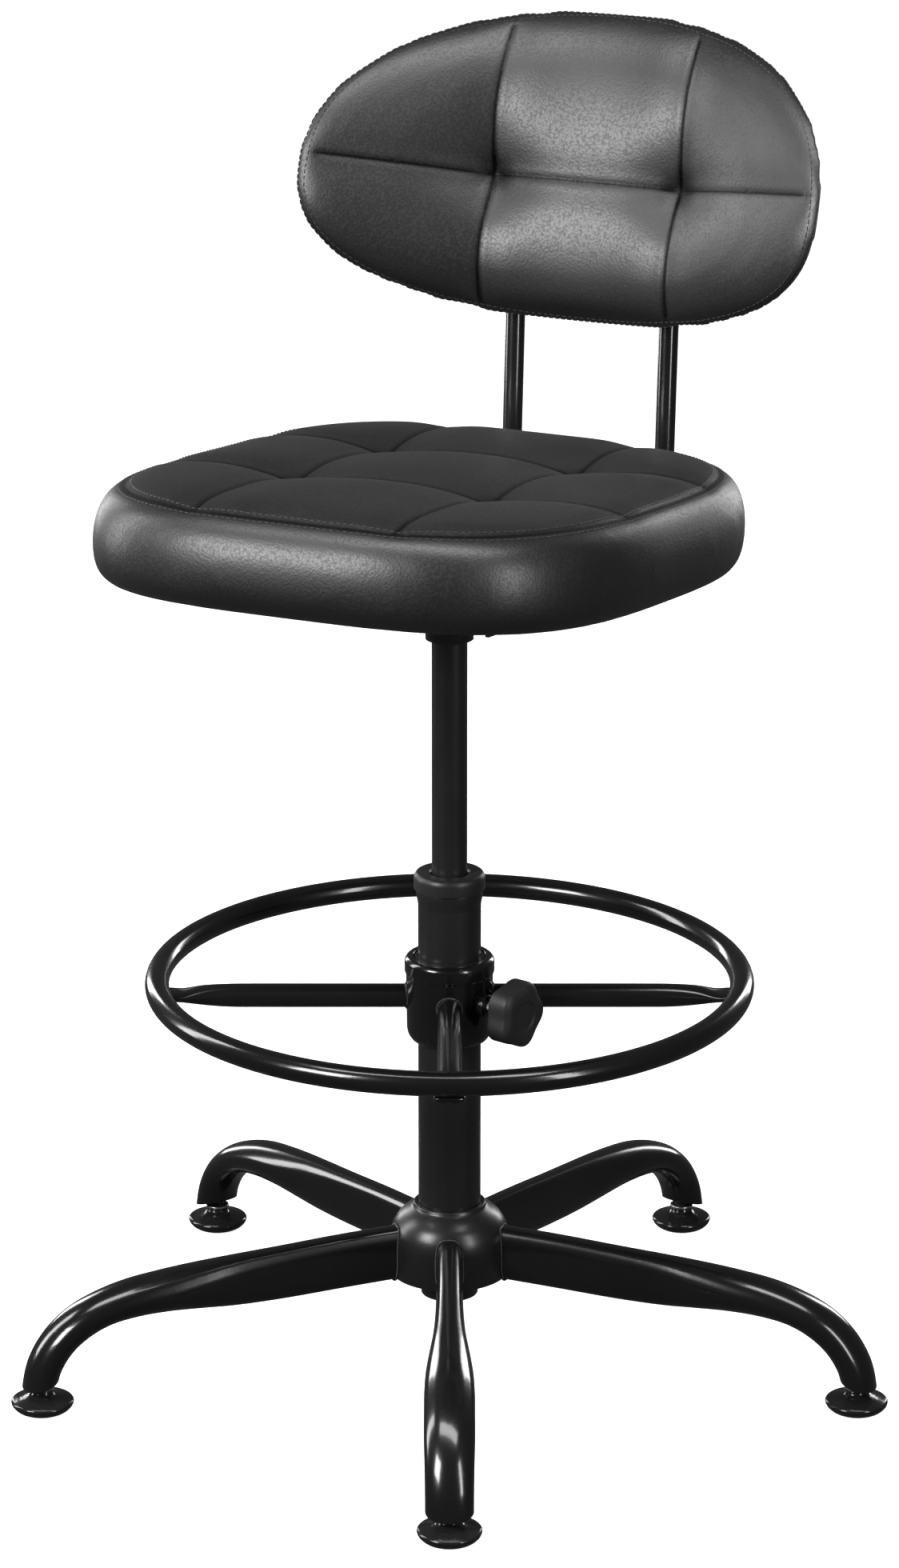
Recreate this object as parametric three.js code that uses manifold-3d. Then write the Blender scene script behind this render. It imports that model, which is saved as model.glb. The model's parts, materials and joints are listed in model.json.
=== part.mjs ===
// Drafting chair: five-leg base, gas lift, clamped foot ring, padded seat and curved backrest.
// Millimetres, +Z up, seat front towards -Y, standing on z = 0.
import * as THREE from "three";
import Module from "manifold-3d";
import { mergeVertices } from "three/addons/utils/BufferGeometryUtils.js";

const wasm = await Module();
wasm.setup();

const DEG = Math.PI / 180;
const GAP = 0.3;               // clearance between touching pieces

// The column's axis stands a little off the origin, which is the middle of the footprint.
const AXIS_X = -21;
const AXIS_Y = -12;
const BASE_TURN = -65.5;       // azimuth of the first leg, degrees
const SPOKE_TURN = 24.5;       // azimuth of the first foot-ring spoke
const KNOB_TURN = -13.5;       // azimuth of the clamp knob

// Five-leg base
const LEG_COUNT = 5;
const LEG_WALL = 1.8;
const GLIDE_REACH = 339;       // column axis to glide axis
const HUB_R = 48;
const HUB_LOW = 76;
const HUB_TOP = 136;

// Gas lift
const SIDES = 24;
const FACET_GROWTH = 1 / Math.cos(Math.PI / SIDES);   // puts a polygon's flats on its circle
const TUBE_R = 25;
const TUBE_WALL = 1.8;
const TUBE_LOW = 57;
const TUBE_TOP = 401;
const COLLAR_R = 28.3;
const COLLAR_TOP = 415;
const ROD_R = 5;
const CYLINDER_R = 14;
const CYLINDER_LOW = 330;
const CYLINDER_TOP = 649;
const PISTON_LOW = CYLINDER_LOW + 6.4;

// Foot ring
const RING_R = 231.7;
const RING_TUBE_R = 9.65;
const RING_Z = 324.6;
const RING_SEGMENTS = 36;
const SPOKE_Z = 311;
const SPOKE_R = 9.5;
const RING_HUB_LOW = 276;
const RING_HUB_TOP = 345;
const RING_HUB_BORE = 28.7;
const RING_BUSH_R = 28.1;
const KNOB_Z = 310;
const SCREW_R = 4;

// Seat
const PLATE_TOP = 663.9;
const PLATE_HALF_X = 75;
const PLATE_HALF_Y = 90;
const SEAT_LEAN = 6.2;         // backward tilt of everything above the gas lift, degrees
const SEAT_MID_Y = -48;
const SEAT_HALF_X = 214;
const SEAT_HALF_Y = 260;
const SEAT_POWER = 3.3;
const BOARD_LOW = 666.5;
const BOARD_TOP = 680;
const BOLT_X = 60;
const BOLT_Y = 75;
const LEVER_Z = 656.6;
const LEVER_PIVOT_X = -34;
const LEVER_R = 3.5;

// Backrest
const BAR_X = 67.5;
const BAR_R = 8;
const BAR_Z = 655;
const BAR_UPRIGHT_Y = 272;     // uprights' distance behind the column at UPRIGHT_Z
const BAR_UPRIGHT_Z = 690;
const BAR_BEND_R = 38;
const BAR_LEAN = 3.6 * DEG;
const BACK_Y = 262;
const BACK_Z = 917;
const BACK_LEAN = 17 * DEG;
const BACK_CURVE_R = 275;
const BACK_HALF_WIDTH = 223;
const BACK_MID_V = -10;        // widest level, measured up the backrest
const BACK_RISE = 150;
const BACK_DROP = 100;
const BACK_BAR_W = -49;        // bars' depth behind the backrest's front face
const BACK_SCREW_V = [-70, -20];
const BACK_STEP = 0.3;         // largest share of the width between two rings of the back

// Finishes
const finish = (color, roughness, metalness) =>
  new THREE.MeshStandardMaterial({ color, roughness, metalness });
const FINISH = {
  paint: [0x0b0b0c, 0.18, 0.4],
  column: [0x101011, 0.35, 0.4],
  plastic: [0x18181a, 0.5, 0],
  glide: [0x0c0c0d, 0.15, 0],
  steel: [0x8d9094, 0.35, 1],
  leather: [0x161616, 0.42, 0],
  wood: [0xb08a5a, 0.7, 0],
  rubber: [0x1a1a1a, 0.8, 0],
};

// ---------------------------------------------------------------- shapes

function signedVolume(geometry) {
  const p = geometry.attributes.position;
  const index = geometry.index.array;
  const [a, b, c] = [new THREE.Vector3(), new THREE.Vector3(), new THREE.Vector3()];
  let sum = 0;
  for (let i = 0; i < index.length; i += 3) {
    a.fromBufferAttribute(p, index[i]);
    b.fromBufferAttribute(p, index[i + 1]);
    c.fromBufferAttribute(p, index[i + 2]);
    sum += a.dot(b.cross(c));
  }
  return sum;
}

// A closed solid from any closed geometry, with its faces turned outwards.
function solid(geometry) {
  const bare = geometry.clone();
  for (const name of Object.keys(bare.attributes)) {
    if (name !== "position") bare.deleteAttribute(name);
  }
  const merged = mergeVertices(bare, 1e-4);
  const triVerts = [];
  const index = merged.index.array;
  const outward = signedVolume(merged) > 0;
  for (let i = 0; i < index.length; i += 3) {
    const [a, b, c] = [index[i], index[i + 1], index[i + 2]];
    if (a === b || b === c || a === c) continue;
    triVerts.push(a, outward ? b : c, outward ? c : b);
  }
  const vertProperties = new Float32Array(merged.attributes.position.array);
  return new wasm.Manifold(
    new wasm.Mesh({ numProp: 3, vertProperties, triVerts: new Uint32Array(triVerts) }));
}

function geometryOf(body) {
  const mesh = body.getMesh();
  const geometry = new THREE.BufferGeometry();
  geometry.setAttribute("position", new THREE.BufferAttribute(mesh.vertProperties, 3));
  geometry.setIndex(new THREE.BufferAttribute(mesh.triVerts, 1));
  return geometry;
}

const join = (first, ...rest) => rest.reduce((sum, body) => sum.add(body), first);
const cut = (first, ...rest) => rest.reduce((sum, body) => sum.subtract(body), first);

// A turned body about +Z, from [radius, height] points that close on the axis or on themselves.
function turned(profile, sides = SIDES) {
  const points = profile.map(([r, z]) => new THREE.Vector2(r, z));
  return solid(new THREE.LatheGeometry(points, sides).rotateX(Math.PI / 2));
}

// A turned ring: the profile is closed back to its first point.
const turnedRing = (profile, sides = SIDES) => turned([...profile, profile[0]], sides);

function ring(inner, outer, low, high, sides = SIDES) {
  return turnedRing([[inner, low], [outer, low], [outer, high], [inner, high]], sides);
}

function rodZ(radius, x, y, low, high, sides = 12) {
  const shape = new THREE.CylinderGeometry(radius, radius, high - low, sides);
  return solid(shape.rotateX(Math.PI / 2).translate(x, y, (low + high) / 2));
}

function rodX(radius, low, high, z, sides = 16) {
  const shape = new THREE.CylinderGeometry(radius, radius, high - low, sides);
  return solid(shape.rotateZ(Math.PI / 2).translate((low + high) / 2, 0, z));
}

function rodY(radius, x, low, high, z, sides = 16) {
  const shape = new THREE.CylinderGeometry(radius, radius, high - low, sides);
  return solid(shape.translate(x, (low + high) / 2, z));
}

function block([x0, y0, z0], [x1, y1, z1]) {
  const shape = new THREE.BoxGeometry(x1 - x0, y1 - y0, z1 - z0);
  return solid(shape.translate((x0 + x1) / 2, (y0 + y1) / 2, (z0 + z1) / 2));
}

// A skin through rings of equal point count. Both ends are closed by a fan.
function skin(rings) {
  const around = rings[0].length;
  const points = rings.flat();
  const index = [];
  for (let i = 0; i + 1 < rings.length; i++) {
    for (let j = 0; j < around; j++) {
      const next = (j + 1) % around;
      const [a, b] = [i * around + j, i * around + next];
      index.push(a, b, b + around, a, b + around, a + around);
    }
  }
  for (const [first, flip] of [[0, true], [(rings.length - 1) * around, false]]) {
    const middle = new THREE.Vector3();
    for (let j = 0; j < around; j++) middle.addScaledVector(points[first + j], 1 / around);
    points.push(middle);
    for (let j = 0; j < around; j++) {
      const pair = [first + j, first + ((j + 1) % around)];
      if (flip) pair.reverse();
      index.push(pair[0], pair[1], points.length - 1);
    }
  }
  const geometry = new THREE.BufferGeometry().setFromPoints(points);
  geometry.setIndex(index);
  return solid(geometry);
}

// An oval section of half width (across) and half height (up), squarer as the power rises.
function oval(around, halfWidth, halfHeight, power) {
  const section = [];
  for (let j = 0; j < around; j++) {
    const angle = (2 * Math.PI * j) / around;
    const [c, s] = [Math.cos(angle), Math.sin(angle)];
    section.push([
      halfWidth * Math.sign(c) * Math.abs(c) ** (2 / power),
      halfHeight * Math.sign(s) * Math.abs(s) ** (2 / power),
    ]);
  }
  return section;
}

// A bar whose centre-line lies in the plane of `out` and +Z: stations of
// [distance out, height, half width, half height, power].
function barAlong(stations, around, out = new THREE.Vector3(1, 0, 0), shift = new THREE.Vector3()) {
  const across = new THREE.Vector3(0, 0, 1).cross(out);
  return skin(stations.map((station, i) => {
    const [before, after] = [stations[Math.max(i - 1, 0)], stations[Math.min(i + 1, stations.length - 1)]];
    const slope = Math.atan2(after[1] - before[1], after[0] - before[0]);
    const [reach, height, halfWidth, halfHeight, power] = station;
    return oval(around, halfWidth, halfHeight, power).map(([side, up]) => new THREE.Vector3()
      .addScaledVector(out, reach - up * Math.sin(slope))
      .addScaledVector(across, side)
      .add(new THREE.Vector3(0, 0, height + up * Math.cos(slope)))
      .add(shift));
  }));
}

// ---------------------------------------------------------------- the group

const chair = new THREE.Group();
chair.position.set(AXIS_X, AXIS_Y, 0);

function piece(name, body, look, turn = 0) {
  const mesh = new THREE.Mesh(geometryOf(body), finish(...FINISH[look]));
  mesh.name = name;
  mesh.rotation.z = turn * DEG;
  chair.add(mesh);
}

// ---------------------------------------------------------------- base

const HUB_SHELL = [
  [HUB_R, HUB_LOW], [HUB_R, 108], [HUB_R - 1.6, 115], [HUB_R - 6, 123],
  [HUB_R - 12, 129], [HUB_R - 18.5, 133], [HUB_R - 19.5, HUB_TOP],
];

function baseHub() {
  const inside = [
    [TUBE_R + GAP, HUB_TOP], [23.95, HUB_LOW + 2], [29, HUB_LOW + 2], [29, 122],
    [33.5, 122], [39.5, 117.5], [43.5, 110], [44.2, 104], [44.2, HUB_LOW],
  ];
  return turnedRing([...HUB_SHELL, ...inside]);
}

// The hub's outer form, grown by the gap: it shapes the legs' inner ends.
function hubForm() {
  const grown = HUB_SHELL.map(([r, z]) => [(r + GAP) * FACET_GROWTH, z]);
  return turned([[0, HUB_LOW - 30], [grown[0][0], HUB_LOW - 30], ...grown, [0, HUB_TOP]]);
}

// Leg centre-line and section: reach, height, half width, half height, power.
const LEG_LINE = [
  [36, 97.5, 10.5, 22, 3],
  [90, 95, 10.5, 22, 3],
  [140, 92, 11.2, 21.6, 2.8],
  [178, 90.5, 13, 20.8, 2.5],
  [208, 90, 16, 19, 2.2],
  [236, 89, 18.4, 17, 2],
  [264, 86.2, 19.4, 15.2, 2],
  [288, 80.5, 19.5, 13.8, 2],
  [308, 71, 19.5, 13.6, 2],
  [324.5, 57, 19, 13.5, 2],
  [336, 39, 18.6, 13.5, 2],
  [341, 20, 18.5, 13.5, 2],
  [341.5, 4, 18.5, 13.5, 2],
];

function legForm(inset) {
  const shrink = LEG_LINE.map(([reach, height, w, h, power]) => [reach, height, w - inset, h - inset, power]);
  if (inset > 0) {
    shrink.unshift([20, 98.3, ...shrink[0].slice(2)]);
    shrink.push([341.5, -10, ...shrink.at(-1).slice(2)]);
  }
  return barAlong(shrink, inset > 0 ? 10 : 14);
}

// Everything below the slanted mouth of a leg: lower on the outside.
function belowMouth() {
  const shape = new THREE.BoxGeometry(90, 60, 60);
  shape.translate(0, 0, -30).rotateY(15 * DEG).translate(GLIDE_REACH, 0, 24);
  return solid(shape);
}

function leg() {
  return cut(legForm(0), legForm(LEG_WALL), hubForm(), belowMouth());
}

// Moulded insert inside the leg's end, bored for the glide's stem.
function legSocket() {
  const slab = block([290, -30, 28], [370, 30, 40]);
  return cut(legForm(LEG_WALL + GAP).intersect(slab), rodZ(5.9, GLIDE_REACH, 0, 20, 50, 16));
}

function glide() {
  const profile = [
    [0, 0], [17, 0], [21.5, 2.2], [24.3, 5.6], [25, 8.2], [23.8, 9.4], [17, 11.2],
    [10.5, 13.6], [8.4, 15.4], [8.4, 18], [9.2, 18.8], [9.2, 20.6], [5.5, 21.6],
    [5.5, 43], [4.6, 44], [0, 44],
  ];
  return turned(profile, 14).translate([GLIDE_REACH, 0, 0]);
}

function addBase() {
  piece("base_hub", baseHub(), "paint");
  for (let i = 0; i < LEG_COUNT; i++) {
    const turn = BASE_TURN + (360 / LEG_COUNT) * i;
    piece(`leg_${i + 1}`, leg(), "paint", turn);
    piece(`leg_socket_${i + 1}`, legSocket(), "plastic", turn);
    piece(`glide_${i + 1}`, glide(), "glide", turn);
  }
}

// ---------------------------------------------------------------- gas lift

function outerTube() {
  const bore = TUBE_R - TUBE_WALL;
  return turnedRing([
    [22.9, TUBE_LOW], [TUBE_R, HUB_TOP], [TUBE_R, TUBE_TOP - 14], [TUBE_R + 1.4, TUBE_TOP - 5],
    [TUBE_R + 1.4, TUBE_TOP], [bore, TUBE_TOP], [bore, HUB_TOP], [21.2, 64],
    [6.3, 64], [6.3, 60], [21, 60], [21, TUBE_LOW],
  ]);
}

function guideBush() {
  const sleeve = TUBE_R - TUBE_WALL - GAP;
  const low = TUBE_TOP - 61;
  return turnedRing([
    [14.4, low], [sleeve, low], [sleeve, TUBE_TOP + GAP], [COLLAR_R, TUBE_TOP + GAP],
    [COLLAR_R, COLLAR_TOP - 3], [COLLAR_R - 3, COLLAR_TOP], [14.4, COLLAR_TOP],
  ]);
}

function pistonRod() {
  return turned([
    [0, 54], [4.4, 54], [ROD_R, 54.6], [ROD_R, 57.3], [4.2, 57.3], [4.2, 59.7], [ROD_R, 59.7],
    [ROD_R, 71.4], [7, 71.4], [7, 74], [ROD_R, 74], [ROD_R, PISTON_LOW - GAP],
    [3.2, PISTON_LOW - GAP], [3.2, PISTON_LOW + 15], [0, PISTON_LOW + 15],
  ], 16);
}

function pressureCylinder() {
  const bore = 12.3;
  return turnedRing([
    [5.6, CYLINDER_LOW], [13.2, CYLINDER_LOW], [CYLINDER_R, CYLINDER_LOW + 1],
    [CYLINDER_R, 608], [13.5, CYLINDER_TOP], [3.5, CYLINDER_TOP], [3.5, CYLINDER_TOP - 20],
    [bore, CYLINDER_TOP - 20], [bore, CYLINDER_LOW + 6], [5.6, CYLINDER_LOW + 6],
  ], 20);
}

function addGasLift() {
  piece("outer_tube", outerTube(), "column");
  piece("guide_bush", guideBush(), "plastic");
  piece("thrust_bearing", ring(6.6, 15, 64.3, 68.8, 20), "steel");
  piece("piston_rod", pistonRod(), "steel");
  piece("rod_washer", ring(ROD_R + GAP, 14, 69.1, 71.1, 20), "steel");
  piece("retaining_clip", ring(4.2 + GAP, 9, 57.6, 59.4, 16), "steel");
  piece("bump_stop", ring(ROD_R + GAP, 11, 74.3, 94, 16), "rubber");
  piece("piston", ring(3.5, 11.8, PISTON_LOW, PISTON_LOW + 13, 24), "plastic");
  piece("pressure_cylinder", pressureCylinder(), "column");
  piece("valve_pin", rodZ(3, 0, 0, 632, 652.8, 16), "steel");
}

// ---------------------------------------------------------------- foot ring

const RING_HUB_FORM = [
  [30, RING_HUB_LOW], [33, RING_HUB_LOW + 4], [34, RING_HUB_LOW + 9], [34.6, RING_HUB_TOP - 14],
  [35.6, RING_HUB_TOP - 12], [35.6, RING_HUB_TOP - 2.5], [33.5, RING_HUB_TOP],
];

function ringHub() {
  const shell = turnedRing([
    ...RING_HUB_FORM, [RING_HUB_BORE, RING_HUB_TOP], [RING_HUB_BORE, RING_HUB_LOW],
  ]);
  const boss = cut(rodX(9, 30, 39, KNOB_Z), rodZ(RING_HUB_BORE + 1.5, 0, 0, 270, 350, SIDES));
  return cut(join(shell, boss), rodX(SCREW_R + 0.4, 20, 45, KNOB_Z), rodX(5.7, 20, 34.6, KNOB_Z));
}

function ringBush() {
  return ring(TUBE_R + 0.4, RING_BUSH_R, RING_HUB_LOW + 1, RING_HUB_TOP - 1);
}

function ringHubForm() {
  const grown = RING_HUB_FORM.map(([r, z]) => [(r + GAP) * FACET_GROWTH, z]);
  return turned([[0, RING_HUB_LOW], ...grown, [0, RING_HUB_TOP]]);
}

// Round at the hub, pressed flat where it passes under the ring.
function spoke() {
  const flatTop = RING_Z - RING_TUBE_R - 0.4;
  const form = barAlong([
    [26, SPOKE_Z, SPOKE_R, SPOKE_R, 2],
    [170, SPOKE_Z, SPOKE_R, SPOKE_R, 2],
    [196, SPOKE_Z, 10.6, 7.8, 2],
    [212, flatTop - 3.6, 12.6, 3.6, 2.6],
    [229, flatTop - 3, 12.6, 3, 3],
    [232, flatTop - 3, 10.6, 2.6, 2.6],
  ], 14);
  const bore = barAlong([
    [20, SPOKE_Z, SPOKE_R - 1.5, SPOKE_R - 1.5, 2],
    [170, SPOKE_Z, SPOKE_R - 1.5, SPOKE_R - 1.5, 2],
    [194, SPOKE_Z, 8.6, 5.6, 2],
  ], 10);
  return cut(form, bore, ringHubForm());
}

// Hollow ring with one small vent hole on its underside.
function footRing() {
  const outside = new THREE.TorusGeometry(RING_R, RING_TUBE_R, 10, RING_SEGMENTS);
  const inside = new THREE.TorusGeometry(RING_R, RING_TUBE_R - 1.5, 6, RING_SEGMENTS);
  const vent = rodZ(2.5, RING_R * Math.cos(70 * DEG), RING_R * Math.sin(70 * DEG), -RING_TUBE_R - 1, 0, 8);
  return cut(solid(outside), solid(inside), vent).translate([0, 0, RING_Z]);
}

function clampKnob() {
  const lobes = 5;
  const outline = new THREE.Shape();
  for (let i = 0; i < 30; i++) {
    const angle = (2 * Math.PI * i) / 30;
    const radius = 20.3 + 1.8 * Math.cos(lobes * angle);
    const [x, y] = [radius * Math.cos(angle), radius * Math.sin(angle)];
    if (i === 0) outline.moveTo(x, y);
    else outline.lineTo(x, y);
  }
  const shape = new THREE.ExtrudeGeometry(outline, {
    depth: 14, bevelEnabled: true, bevelThickness: 4, bevelSize: 3.2, bevelSegments: 2, steps: 1,
  });
  shape.rotateY(Math.PI / 2).translate(57, 0, KNOB_Z);
  const neck = rodX(10, 46, 55, KNOB_Z);
  return cut(join(solid(shape), neck), rodX(SCREW_R + GAP, 40, 64, KNOB_Z));
}

function addFootRing() {
  piece("ring_bush", ringBush(), "plastic");
  piece("ring_hub", ringHub(), "paint", KNOB_TURN);
  for (let i = 0; i < 4; i++) piece(`spoke_${i + 1}`, spoke(), "paint", SPOKE_TURN + 90 * i);
  piece("foot_ring", footRing(), "paint");
  piece("pressure_pad", rodX(5.2, 28.8, 31.5, KNOB_Z), "plastic", KNOB_TURN);
  piece("clamp_screw", rodX(SCREW_R, 31.8, 63.7, KNOB_Z, 12), "steel", KNOB_TURN);
  piece("clamp_knob", clampKnob(), "plastic", KNOB_TURN);
}

// ---------------------------------------------------------------- seat mechanism

// Leans a body made level back about the seat plate's middle.
function leaned(body) {
  return body.translate([0, 0, -PLATE_TOP]).rotate([-SEAT_LEAN, 0, 0]).translate([0, 0, PLATE_TOP]);
}

// Height and distance of a level-frame point of the YZ plane once it has leaned back.
function leanedPoint(y, z) {
  const [c, s] = [Math.cos(SEAT_LEAN * DEG), Math.sin(SEAT_LEAN * DEG)];
  return [y * c + (z - PLATE_TOP) * s, PLATE_TOP - y * s + (z - PLATE_TOP) * c];
}

const BOLT_PLACES = [[-1, -1], [1, -1], [-1, 1], [1, 1]].map(([sx, sy]) => [sx * BOLT_X, sy * BOLT_Y]);
const CLAMP_PLACES = [-1, 1].map((side) => [side * (BAR_X - 15), 160]);

// Pressed box with a taper socket for the cylinder and ears for the release lever.
function seatPlate() {
  const [hx, hy] = [PLATE_HALF_X, PLATE_HALF_Y];
  const socketHole = rodZ(18, 0, 0, 620, 640, 24);
  const body = join(
    leaned(block([-hx, -hy, PLATE_TOP - 3], [hx, hy, PLATE_TOP])),
    leaned(block([-hx, -hy, 630], [-hx + 3, hy, PLATE_TOP - 1])),
    leaned(block([hx - 3, -hy, 630], [hx, hy, PLATE_TOP - 1])),
    cut(leaned(block([-hx, -45, 630], [hx, 45, 633])), socketHole),
    turnedRing([[CYLINDER_R + 0.4, 606], [19, 606], [19, 650], [13.5 + 0.4, 650], [CYLINDER_R + 0.4, 610]], 24),
    block([LEVER_PIVOT_X - 7, -9, 649], [LEVER_PIVOT_X + 7, -6.5, PLATE_TOP - 2]),
    block([LEVER_PIVOT_X - 7, 6.5, 649], [LEVER_PIVOT_X + 7, 9, PLATE_TOP - 2]),
  );
  const holes = BOLT_PLACES.map(([x, y]) => leaned(rodZ(4.3, x, y, 655, 670)));
  const slot = block([-hx - 1, -9, 640], [-hx + 4, 9, PLATE_TOP - 3]);
  return cut(body, ...holes, slot, rodY(2.8, LEVER_PIVOT_X, -20, 20, LEVER_Z));
}

// Stations of the release lever from the valve out to its grip, beyond the pivot lower down.
const LEVER_LINE = [[4, LEVER_Z], [-40, LEVER_Z], [-52, 654.5], [-72, 646], [-86, 641.5], [-100, 640], [-196, 640]];

function leverRod() {
  const out = new THREE.Vector3(-1, 0, 0);
  const form = barAlong(LEVER_LINE.map(([x, z]) => [-x, z, LEVER_R, LEVER_R, 2]), 12, out);
  const boss = rodY(4.6, LEVER_PIVOT_X, -6, 6, LEVER_Z - 1.4);
  return cut(join(form, boss), rodY(2.7, LEVER_PIVOT_X, -20, 20, LEVER_Z));
}

function leverGrip() {
  const out = new THREE.Vector3(-1, 0, 0);
  const form = barAlong([
    [140, 640, 7, 5, 2], [150, 640, 10, 5.4, 2.4], [180, 640, 14, 5.4, 2.6], [204, 640, 13, 5, 2.6], [210, 640, 9, 3.4, 2.2],
  ], 14, out);
  return cut(form, rodX(LEVER_R + GAP, -196.4, -130, 640, 12));
}

function addSeatMechanism() {
  piece("seat_plate", seatPlate(), "paint");
  piece("lever_rod", leverRod(), "steel");
  piece("lever_grip", leverGrip(), "plastic");
  piece("lever_pivot", rodY(2.4, LEVER_PIVOT_X, -11, 11, LEVER_Z, 12), "steel");
  BOLT_PLACES.forEach(([x, y], i) => {
    const bolt = join(rodZ(6.5, x, y, 654, PLATE_TOP - 3 - GAP, 6), rodZ(3.8, x, y, 656, 676));
    piece(`seat_bolt_${i + 1}`, leaned(bolt), "steel");
  });
}

// ---------------------------------------------------------------- seat

// Rounded-square ring of the level seat at a share of its full size.
function seatRing(share, height, around = 28) {
  return oval(around, SEAT_HALF_X * share, SEAT_HALF_Y * share, SEAT_POWER).map(([x, y]) =>
    new THREE.Vector3(x, y + SEAT_MID_Y, height));
}

function seatPad() {
  const upper = [[0.02, 748], [0.4, 748], [0.7, 746], [0.84, 742], [0.92, 735], [0.975, 722], [1, 704]];
  const lower = [[0.995, 688], [0.97, 675], [0.93, 667.5], [0.9, 666]];
  const pocket = [[0.88, 666], [0.88, BOARD_TOP + GAP], [0.02, BOARD_TOP + GAP]];
  return skin([...upper, ...lower, ...pocket].map(([share, height]) => seatRing(share, height)));
}

function seatHoles(radius) {
  return [...BOLT_PLACES, ...CLAMP_PLACES].map(([x, y]) => rodZ(radius, x, y, 655, 690));
}

function seatBoard() {
  const form = skin([seatRing(0.02, BOARD_LOW), seatRing(0.87, BOARD_LOW), seatRing(0.87, BOARD_TOP),
    seatRing(0.02, BOARD_TOP)]);
  return cut(form, ...seatHoles(4.3));
}

function seatCover() {
  const low = PLATE_TOP + GAP;
  const form = skin([seatRing(0.02, low), seatRing(0.87, low), seatRing(0.87, BOARD_LOW - GAP),
    seatRing(0.02, BOARD_LOW - GAP)]);
  return cut(form, ...seatHoles(4.3));
}

function addSeat() {
  piece("seat_cover", leaned(seatCover()), "plastic");
  piece("seat_board", leaned(seatBoard()), "wood");
  piece("seat_pad", leaned(seatPad()), "leather");
}

// ---------------------------------------------------------------- backrest

// Points on the curved backrest: u across, v up its face, w forward from its face.
function backPoint(u, v, w) {
  const forward = w + (u * u) / (2 * BACK_CURVE_R);
  return new THREE.Vector3(
    u,
    BACK_Y + v * Math.sin(BACK_LEAN) - forward * Math.cos(BACK_LEAN),
    BACK_Z + v * Math.cos(BACK_LEAN) + forward * Math.sin(BACK_LEAN));
}

function backRing(share, depth, around = 26) {
  const ringPoints = [];
  for (let j = 0; j < around; j++) {
    const angle = (2 * Math.PI * j) / around;
    const [c, s] = [Math.cos(angle), Math.sin(angle)];
    const power = s > 0 ? 2.1 : 2.8;
    const u = BACK_HALF_WIDTH * share * Math.sign(c) * Math.abs(c) ** (2 / power);
    const rise = (s > 0 ? BACK_RISE : BACK_DROP) * share * Math.abs(s) ** (2 / power);
    ringPoints.push(backPoint(u, BACK_MID_V + Math.sign(s) * rise, depth));
  }
  return ringPoints;
}

// A skin over the curved back, with extra rings wherever the profile runs far across it.
function backSkin(profile) {
  const rings = [backRing(...profile[0])];
  for (let i = 1; i < profile.length; i++) {
    const [[share0, depth0], [share1, depth1]] = [profile[i - 1], profile[i]];
    const steps = Math.ceil(Math.abs(share1 - share0) / BACK_STEP);
    for (let k = 1; k <= Math.max(steps, 1); k++) {
      const part = k / Math.max(steps, 1);
      rings.push(backRing(share0 + (share1 - share0) * part, depth0 + (depth1 - depth0) * part));
    }
  }
  return skin(rings);
}

// Bar's centre-line in the YZ plane, from its front end under the seat to its top in the backrest.
function barLine() {
  const [from, to] = [-SEAT_LEAN * DEG, 90 * DEG - BAR_LEAN];
  const start = leanedPoint(100, BAR_Z);
  const swing = [BAR_BEND_R * (Math.sin(to) - Math.sin(from)), BAR_BEND_R * (Math.cos(from) - Math.cos(to))];
  const short = [BAR_UPRIGHT_Y - start[0] - swing[0], BAR_UPRIGHT_Z - start[1] - swing[1]];
  const run = (short[0] * Math.sin(to) - short[1] * Math.cos(to)) / Math.sin(to - from);
  const along = (reach) => [start[0] + reach * Math.cos(from), start[1] + reach * Math.sin(from)];
  const bend = along(run);
  const line = [start, along(run * 0.7)];
  for (let i = 0; i <= 6; i++) {
    const angle = from + ((to - from) * i) / 6;
    line.push([
      bend[0] + BAR_BEND_R * (Math.sin(angle) - Math.sin(from)),
      bend[1] + BAR_BEND_R * (Math.cos(from) - Math.cos(angle)),
    ]);
  }
  for (const v of [-106, -60, 4]) {
    const point = backPoint(0, v, BACK_BAR_W);
    line.push([point.y, point.z]);
  }
  return line;
}

function backBar(side, radius = BAR_R) {
  const across = new THREE.Vector3(side * BAR_X, 0, 0);
  const stations = barLine().map(([y, z]) => [y, z, radius, radius, 2]);
  return barAlong(stations, 12, new THREE.Vector3(0, 1, 0), across);
}

// Screw hole or shank through a bar and the board, square to the backrest's face.
function backShank(side, v, radius, from, to) {
  const [a, b] = [backPoint(0, v, from), backPoint(0, v, to)];
  const shape = new THREE.CylinderGeometry(radius, radius, a.distanceTo(b), 10);
  const turn = new THREE.Quaternion().setFromUnitVectors(
    new THREE.Vector3(0, 1, 0), b.clone().sub(a).normalize());
  const middle = a.clone().add(b).multiplyScalar(0.5);
  return solid(shape.applyQuaternion(turn).translate(side * BAR_X, middle.y, middle.z));
}

const BAR_FACE_OFFSET = (BAR_X * BAR_X) / (2 * BACK_CURVE_R);   // curve of the back at the bars

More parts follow.
